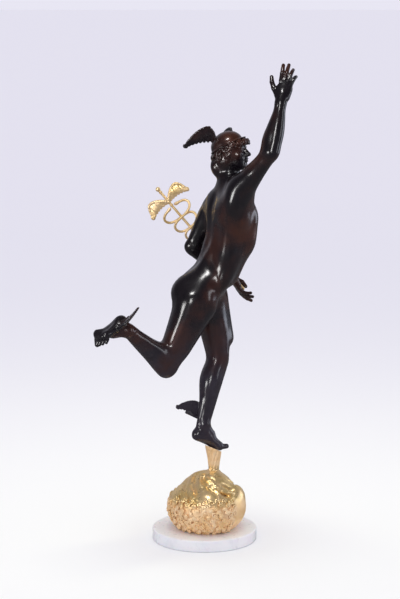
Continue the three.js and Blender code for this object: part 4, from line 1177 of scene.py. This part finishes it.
# %% Caduceus
STAFF_ACROSS = vec(-0.45, -0.64, 0.62)
STAFF_ACROSS = unit(STAFF_ACROSS - STAFF_UP * (STAFF_ACROSS @ STAFF_UP))
STAFF_FACE = np.cross(STAFF_ACROSS, STAFF_UP)
STAFF_WING = {"length": 40, "height": 25, "peak": 0.62, "feathers": 7}
STAFF_GRID = 0.55
KNOB_RADIUS = 4.2


def read_vectors(items, name):
    values = np.zeros(3 * len(items), np.float32)
    items.foreach_get(name, values)
    return values.reshape(-1, 3)


def turn_into_hand(mesh):
    turn = np.stack([STAFF_ACROSS, STAFF_UP, STAFF_FACE], axis=1)
    corners = read_vectors(mesh.vertices, "co") @ turn.T + STAFF_END * MM
    normals = read_vectors(mesh.vertex_normals, "vector") @ turn.T
    mesh.vertices.foreach_set("co", corners.astype(np.float32).ravel())
    mesh.normals_split_custom_set_from_vertices(normals.tolist())
    mesh.update()


def caduceus():
    spans = ((-48, 48), (-6, STAFF_LENGTH + 8), (-13, 13))
    clay = Clay(*[grid_line(low, high, STAFF_GRID) for low, high in spans])
    x, y = vec(1, 0, 0), vec(0, 1, 0)
    clay.add(rod(y * STAFF_RADIUS, y * STAFF_LENGTH, STAFF_RADIUS), 0.5)
    clay.add(egg(y * STAFF_LENGTH, SQUARE, [KNOB_RADIUS] * 3), 0.8)
    for below in (7, 24, 36):
        clay.add(egg(y * (STAFF_LENGTH - below), SQUARE, [3.4, 1.6, 3.4]), 0.6)
    for side in (-1, 1):
        wing(clay, y * (STAFF_LENGTH - 30) + x * side, x * side - y * 0.15, y, STAFF_WING)
        snake(clay, side)
    obj = cast(clay, "caduceus_gilt")
    turn_into_hand(obj.data)
    return obj


caduceus_gilt = caduceus()
hold(caduceus_gilt, "caduceus")

# %% [markdown]
# The base is a turned disc of white marble. Its edges are a little rounded, so the mesh is a turned
# profile with arcs at both edges, fine enough that the rim shows no corners.

# %% Marble base
MARBLE_EDGE = 0.0022
MARBLE_SIDES = 160


def marble_profile():
    """The outline from the underside up and in over the top, as pairs of out and up."""
    low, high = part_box("marble_base")
    radius, height = high[0], high[2]
    out = radius - MARBLE_EDGE
    profile = []
    for up, first in ((MARBLE_EDGE, -90), (height - MARBLE_EDGE, 0)):
        for k in range(7):
            angle = math.radians(first + 15 * k)
            profile.append((out + MARBLE_EDGE * math.cos(angle), up + MARBLE_EDGE * math.sin(angle)))
    return profile + [(radius * share, height) for share in (0.9, 0.6, 0.3)]


def ring(out, up, sides):
    """The corners of a level ring."""
    turns = [2 * math.pi * i / sides for i in range(sides)]
    return [(out * math.cos(a), out * math.sin(a), up) for a in turns]


def marble_disc():
    profile = marble_profile()
    sides = MARBLE_SIDES
    verts = [corner for out, up in profile for corner in ring(out, up, sides)]
    faces = []
    for row in range(len(profile) - 1):
        for i in range(sides):
            a, b = row * sides + i, row * sides + (i + 1) % sides
            faces.append((a, b, b + sides, a + sides))
    faces.append([sides - 1 - i for i in range(sides)])
    verts.append((0.0, 0.0, profile[-1][1]))
    top = (len(profile) - 1) * sides
    faces += [(top + i, top + (i + 1) % sides, len(verts) - 1) for i in range(sides)]
    mesh = bpy.data.meshes.new("marble_disc")
    mesh.from_pydata(verts, [], faces)
    mesh.shade_smooth()
    return show("marble_disc", mesh)


marble = marble_disc()
hold(marble, "marble_base")
print("marble disc:", len(marble.data.polygons), "faces")

# %% [markdown]
# Three finishes carry the look. Each is made with nodes from the piece's own coordinates, so it sits in
# the metal and goes on all round, where a photo laid on would fit one side only. First come helpers
# that add a node and join its sockets: a number may be typed or come from another node.

# %% Nodes
class Nodes:
    def __init__(self, name):
        self.material = bpy.data.materials.new(name)
        self.material.use_nodes = True
        self.tree = self.material.node_tree
        self.shader = self.tree.nodes["Principled BSDF"]
        self.place = self.add("ShaderNodeTexCoord").outputs["Object"]

    def add(self, kind, **values):
        node = self.tree.nodes.new(kind)
        for name, value in values.items():
            setattr(node, name, value)
        return node

    def put(self, socket, value):
        """Joins a socket to another one, or sets its number."""
        if isinstance(value, bpy.types.NodeSocket):
            self.tree.links.new(value, socket)
        else:
            socket.default_value = value

    def maths(self, operation, a, b):
        node = self.add("ShaderNodeMath", operation=operation)
        self.put(node.inputs[0], a)
        self.put(node.inputs[1], b)
        return node.outputs["Value"]

    def span(self, value, low, high, to_low=0.0, to_high=1.0):
        """Maps a number from low..high to to_low..to_high, smoothly and clamped."""
        node = self.add("ShaderNodeMapRange", interpolation_type="SMOOTHSTEP")
        names = ("Value", "From Min", "From Max", "To Min", "To Max")
        for name, given in zip(names, (value, low, high, to_low, to_high)):
            self.put(node.inputs[name], given)
        return node.outputs["Result"]

    def blend(self, share, a, b):
        """A colour between a and b."""
        node = self.add("ShaderNodeMix", data_type="RGBA")
        self.put(node.inputs["Factor"], share)
        for name, colour in (("A", a), ("B", b)):
            socket = [s for s in node.inputs if s.name == name and s.type == "RGBA"][0]
            self.put(socket, colour if isinstance(colour, bpy.types.NodeSocket) else (*colour, 1))
        return [s for s in node.outputs if s.type == "RGBA"][0]

    def height(self):
        """How high a place stands, in metres."""
        node = self.add("ShaderNodeSeparateXYZ")
        self.put(node.inputs[0], self.place)
        return node.outputs["Z"]


print("nodes: add, put, maths, span, blend, height")

# %% [markdown]
# Wear, dirt and grain all start as noise: soft for clouds and patches, stretched for brush strokes,
# fine for grain. The hollow number of the cast tells dirt and painted shade where to lie. The bump
# gives the light the fine grain of the skin, which needs no faces of its own.

# %% Patterns and grain
class Finish(Nodes):
    """A material that takes its patterns from noise and from the hollows of a cast."""

    def noise(self, scale, detail=4.0, rough=0.55, place=None, warp=0.0):
        node = self.add("ShaderNodeTexNoise")
        self.put(node.inputs["Vector"], self.place if place is None else place)
        names = ("Scale", "Detail", "Roughness", "Distortion")
        for name, value in zip(names, (scale, detail, rough, warp)):
            node.inputs[name].default_value = value
        return node.outputs["Fac"]

    def stretched(self, x, y, z):
        node = self.add("ShaderNodeMapping")
        self.put(node.inputs["Vector"], self.place)
        node.inputs["Scale"].default_value = (x, y, z)
        return node.outputs["Vector"]

    def hollow(self):
        return self.add("ShaderNodeAttribute", attribute_name="hollow").outputs["Fac"]

    def bump(self, height, depth_mm):
        node = self.add("ShaderNodeBump")
        self.put(node.inputs["Height"], height)
        node.inputs["Distance"].default_value = depth_mm * MM
        self.put(self.shader.inputs["Normal"], node.outputs["Normal"])

    def finish(self, piece, **sockets):
        """Sets the shader's sockets by their names and gives the material to a piece."""
        for name, value in sockets.items():
            value = (*value, 1) if isinstance(value, tuple) else value
            self.put(self.shader.inputs[name.replace("_", " ")], value)
        piece.data.materials.append(self.material)
        print("finish", self.material.name, "with", len(self.tree.nodes), "nodes")


print("patterns: noise, stretched, hollow, bump")

# %% [markdown]
# Old bronze is nearly black and glossy: a thin lacquer-like patina over metal. Broad soft patches of
# reddish metal show where it has worn, and dull dirt fills the hollows. A grey-violet tone lies on the
# legs and fades upwards. It is partly dust and partly a painted reflection of the pale floor, which the
# bronze mirrors only dimly. A clear coat gives the sharp highlights, and the metal the broad warm ones.

# %% Bronze finish
PATINA = ((0.006, 0.004, 0.007), (0.010, 0.007, 0.010))
WORN_METAL = (0.11, 0.035, 0.020)
DIRT = (0.020, 0.017, 0.016)
# The grey-violet below is partly dust and partly a painted reflection of the pale floor.
DUST_AND_FLOOR_REFLECTION = (0.040, 0.034, 0.046)
DUST_AND_REFLECTION_TOP = 420
DUST_AND_REFLECTION_FULL = 260


def bronze_finish(piece):
    n = Finish("dark_bronze_patina")
    patches = n.span(n.noise(11, 3, 0.5, warp=0.3), 0.45, 0.76)
    brushed = n.noise(1, 4, 0.6, place=n.stretched(130, 130, 35))
    worn = n.maths("MULTIPLY", patches, n.span(brushed, 0.3, 0.7, 0.75, 1.0))
    colour = n.blend(n.span(brushed, 0.3, 0.7), *PATINA)
    colour = n.blend(worn, colour, WORN_METAL)
    dirt = n.span(n.hollow(), 0.6, 1.3)
    dirty = n.maths("MULTIPLY", dirt, 0.8)
    colour = n.blend(dirty, colour, DIRT)
    # Painted reflection, partly dust: the lower legs turn grey-violet as if they mirrored the pale
    # floor, fading upwards.
    dust_and_reflection = n.span(n.height(), DUST_AND_REFLECTION_TOP * MM, DUST_AND_REFLECTION_FULL * MM)
    dust_and_reflection = n.maths("MULTIPLY", dust_and_reflection, n.span(n.noise(38, 4, 0.6, warp=0.4), 0.3, 0.7, 0.45, 1.0))
    colour = n.blend(dust_and_reflection, colour, DUST_AND_FLOOR_REFLECTION)
    rough = n.span(n.noise(70, 5, 0.6), 0.3, 0.75, 0.34, 0.50)
    n.bump(n.maths("ADD", n.noise(260, 3, 0.5), n.maths("MULTIPLY", n.noise(40, 2), 3.0)), 0.05)
    n.finish(
        piece,
        Base_Color=colour,
        Metallic=n.maths("MULTIPLY", worn, 0.8),
        Roughness=n.maths("ADD", rough, n.maths("MULTIPLY", dirt, 0.25)),
        Coat_Weight=n.span(n.maths("MAXIMUM", dust_and_reflection, dirty), 0.0, 1.0, 1.0, 0.6),
        Coat_Roughness=0.19,
        Coat_IOR=1.6,
        Specular_IOR_Level=0.05,
    )


bronze_finish(figure_bronze)

# %% [markdown]
# Fire gilding is two things: burnished where the tool reached, and matt, with a peach tint, low on the
# curls and on the plume, where the gold was left as it came from the fire. One material blends the two
# by height, and paints shade into the deep hollows, so that they go dark.

# %% Gilt finish
BURNISHED = ((0.92, 0.67, 0.29), (0.98, 0.72, 0.40))
PEACH = ((0.96, 0.62, 0.31), (1.0, 0.76, 0.47))
# The dark brown below is painted shade for the deep hollows of the curls and folds.
PAINTED_HOLLOW_SHADE = (0.36, 0.16, 0.06)
DARK_SPECK = (0.50, 0.25, 0.09)
MATT_BELOW = 44
BRIGHT_ABOVE = 62


def gilt_finish(piece, matt_share, name):
    n = Finish(name)
    cloudy = n.noise(45, 5, 0.6, warp=0.4)
    tint = n.span(cloudy, 0.35, 0.7)
    matt = n.maths("MULTIPLY", n.span(cloudy, 0.35, 0.6, 0.7, 1.0), matt_share(n))
    colour = n.blend(matt, n.blend(tint, *BURNISHED), n.blend(tint, *PEACH))
    # Painted shade: the deep hollows are darkened in the colour itself.
    hollow_shade = n.span(n.hollow(), 0.94, 1.42)
    colour = n.blend(n.maths("MULTIPLY", hollow_shade, 0.9), colour, PAINTED_HOLLOW_SHADE)
    speck = n.span(n.noise(300, 4, 0.7), 0.62, 0.72)
    colour = n.blend(n.maths("MULTIPLY", speck, 0.35), colour, DARK_SPECK)
    rough = n.span(matt, 0.0, 1.0, 0.30, 0.48)
    grain = n.span(n.noise(150, 5, 0.7), 0.3, 0.8, -0.04, 0.08)
    n.bump(n.maths("ADD", n.noise(500, 4, 0.65), n.maths("MULTIPLY", n.noise(110, 3), 1.5)), 0.1)
    n.finish(
        piece,
        Base_Color=colour,
        Metallic=n.span(matt, 0.0, 1.0, 0.66, 0.26),
        Roughness=n.maths("ADD", rough, grain),
    )


def matt_on_rock(n):
    """Matt on the plume and low on the curls, burnished on the upper rock."""
    z = n.height()
    rock_top = marble_top + ROCK_HEIGHT
    low = n.span(z, (marble_top + BRIGHT_ABOVE) * MM, (marble_top + MATT_BELOW) * MM)
    on_plume = n.span(z, (rock_top + 2) * MM, (rock_top + 12) * MM)
    return n.maths("MAXIMUM", low, on_plume)


gilt_finish(gilt_rock, matt_on_rock, "gilding_burnished_and_matt")
gilt_finish(caduceus_gilt, lambda n: 0.35, "gilding_satin")

# %% [markdown]
# The marble is plain white with a few faint grey clouds and veins and some pale rusty marks. A vein
# runs where a noise crosses its middle value. Light goes a little way into marble before it comes back,
# so it gets a small subsurface share, and a soft polish.

# %% Marble finish
WHITE = (0.95, 0.945, 0.955)
GREY_CLOUD = (0.88, 0.88, 0.905)
GREY_VEIN = (0.60, 0.60, 0.65)
RUST = (0.62, 0.42, 0.28)


def marble_finish(piece):
    n = Finish("white_marble")
    colour = n.blend(n.span(n.noise(14, 6, 0.6, warp=1.2), 0.42, 0.7), WHITE, GREY_CLOUD)
    from_middle = n.maths("SUBTRACT", n.noise(9, 8, 0.62, warp=2.5), 0.5)
    off_vein = n.span(n.maths("ABSOLUTE", from_middle, 0.0), 0.0, 0.02)
    vein = n.maths("SUBTRACT", 1.0, off_vein)
    colour = n.blend(n.maths("MULTIPLY", vein, 0.13), colour, GREY_VEIN)
    rust = n.span(n.noise(30, 5, 0.7), 0.68, 0.76)
    colour = n.blend(n.maths("MULTIPLY", rust, 0.35), colour, RUST)
    n.bump(n.noise(380, 4, 0.6), 0.05)
    n.finish(
        piece,
        Base_Color=colour,
        Roughness=n.span(n.noise(90, 5, 0.65), 0.3, 0.75, 0.26, 0.42),
        Subsurface_Weight=0.15,
        Subsurface_Scale=0.004,
        Coat_Weight=0.1,
        Coat_Roughness=0.2,
    )


marble_finish(marble)

# %% [markdown]
# The statuette stands in a plain light room, as for a catalogue, on a pale floor so wide that its edge
# lies beyond the picture. Dark glossy bronze shows its form only by what it reflects, so the floor that
# it mirrors is much darker than the floor that is seen.

# %% Floor
FLOOR_REACH = 500
FLOOR_SIDES = 64
FLOOR_NEAR = (0.93, 0.93, 0.94)
FLOOR_FAR = (0.955, 0.95, 0.96)


def pale_floor():
    """A round floor, a little whiter far away, and dark to a mirror."""
    mesh = bpy.data.meshes.new("floor")
    mesh.from_pydata(ring(FLOOR_REACH, 0.0, FLOOR_SIDES), [], [list(range(FLOOR_SIDES))])
    obj = show("floor", mesh)
    n = Finish("pale_floor")
    away = n.add("ShaderNodeVectorMath", operation="LENGTH")
    n.put(away.inputs[0], n.place)
    far = n.span(away.outputs["Value"], 0.3, 7.0)
    far = n.maths("ADD", far, n.span(n.noise(1.2, 3), 0.3, 0.7, -0.06, 0.06))
    paper = n.blend(far, FLOOR_NEAR, FLOOR_FAR)
    mirrored = n.add("ShaderNodeLightPath").outputs["Is Glossy Ray"]
    paper = n.blend(n.maths("MULTIPLY", mirrored, 0.85), paper, (0, 0, 0))
    n.finish(obj, Base_Color=paper, Roughness=0.8, Specular_IOR_Level=0.0)


pale_floor()

# %% [markdown]
# Soft lights draw the highlights and nothing else, as boxes with a cloth front do in a studio: a high
# one for the shoulder and the hip, a tall one near the camera, a low wide one to the left, and two cool
# ones to the right. One more light hangs over the statuette and brightens only the floor and marble.

# %% Lights
VIEW_LINE = Vector((0.8192, -0.5736, 0))
VIEW_RIGHT = Vector((-0.5736, -0.8192, 0))
AIM = Vector((0, 0, 0.45))


def area_light(name, place, size, power, colour):
    data = bpy.data.lights.new(name, "AREA")
    data.shape = "RECTANGLE"
    data.size, data.size_y = size
    data.energy = power
    data.color = colour
    obj = show(name, data)
    obj.location = place
    return obj


def softbox(name, along, across, up, size, power, colour=(1.0, 0.99, 0.98)):
    """A light that faces the statuette and draws highlights alone, so it lays no shadow."""
    place = VIEW_LINE * along + VIEW_RIGHT * across + Vector((0, 0, up))
    obj = area_light(name, place, size, power, colour)
    obj.rotation_euler = (AIM - place).to_track_quat("-Z", "Y").to_euler()
    obj.visible_diffuse = False


softbox("high_soft", -1.42, -0.44, 2.58, (0.55, 0.35), 20)
softbox("front_soft", -2.6, -0.4, 1.0, (0.4, 1.0), 20)
softbox("left_soft", -1.6, -1.9, 0.5, (0.85, 0.45), 18)
softbox("right_soft", -0.7, 2.0, 0.9, (0.3, 1.5), 5, (0.90, 0.93, 1.0))
softbox("far_right_soft", 0.8, 2.0, 0.6, (0.8, 1.2), 7, (0.80, 0.86, 1.0))
wash = area_light("floor_wash", (0, 0, 1.75), (0.6, 0.6), 9, (0.96, 1.0, 0.62))
wash.visible_glossy = False

# %% [markdown]
# The room is a pale sky all round. It lights the floor and is seen at full strength. Where metal
# mirrors it, it is dim, and a little brighter ahead of the camera, so that the outline of the dark
# bronze gets a faint edge of light.

# %% Room
SEEN_ROOM = 0.90
MIRRORED_ROOM = 0.06
MIRRORED_BACKDROP = 0.4
ROOM_COLOUR = (0.90, 0.885, 1.0, 1)


def pale_world():
    world = bpy.data.worlds.new("soft_room")
    world.use_nodes = True
    nodes, links = world.node_tree.nodes, world.node_tree.links
    path = nodes.new("ShaderNodeLightPath")
    towards = nodes.new("ShaderNodeVectorMath")
    towards.operation = "DOT_PRODUCT"
    towards.inputs[1].default_value = VIEW_LINE
    links.new(nodes.new("ShaderNodeTexCoord").outputs["Generated"], towards.inputs[0])
    mirrored = nodes.new("ShaderNodeMapRange")
    mirrored.interpolation_type = "SMOOTHSTEP"
    mirrored.inputs["From Min"].default_value = 0.1
    mirrored.inputs["From Max"].default_value = 0.9
    mirrored.inputs["To Min"].default_value = MIRRORED_ROOM
    mirrored.inputs["To Max"].default_value = MIRRORED_BACKDROP
    links.new(towards.outputs["Value"], mirrored.inputs["Value"])
    strength = nodes.new("ShaderNodeMix")
    strength.inputs["A"].default_value = SEEN_ROOM
    links.new(mirrored.outputs["Result"], strength.inputs["B"])
    links.new(path.outputs["Is Glossy Ray"], strength.inputs["Factor"])
    sky = nodes["Background"]
    sky.inputs["Color"].default_value = ROOM_COLOUR
    links.new(strength.outputs["Result"], sky.inputs["Strength"])
    bpy.context.scene.world = world


pale_world()
bpy.context.scene.view_settings.view_transform = "Standard"
print("room:", bpy.context.scene.world.name)

# %% [markdown]
# The camera stands where the photographer stood: behind the statuette's right side, a little above it
# and some three metres away, with a long lens, so that the upright lines stay nearly parallel.

# %% Camera
VIEW_FROM = Vector((-2452.97, 1727.14, 908.64)) * MM
LOOKS_DOWN = 9.29
LENS = 107.64
SENSOR_HEIGHT = 36


def camera():
    data = bpy.data.cameras.new("camera")
    data.sensor_fit = "VERTICAL"
    data.sensor_height = SENSOR_HEIGHT
    data.lens = LENS
    data.clip_end = 2.4 * FLOOR_REACH
    obj = show("camera", data)
    obj.location = VIEW_FROM
    pitch = math.radians(-LOOKS_DOWN)
    line = VIEW_LINE.normalized() * math.cos(pitch) + Vector((0, 0, math.sin(pitch)))
    obj.rotation_euler = line.to_track_quat("-Z", "Y").to_euler()
    bpy.context.scene.camera = obj
    return obj


print("camera at", [round(c, 3) for c in camera().location])
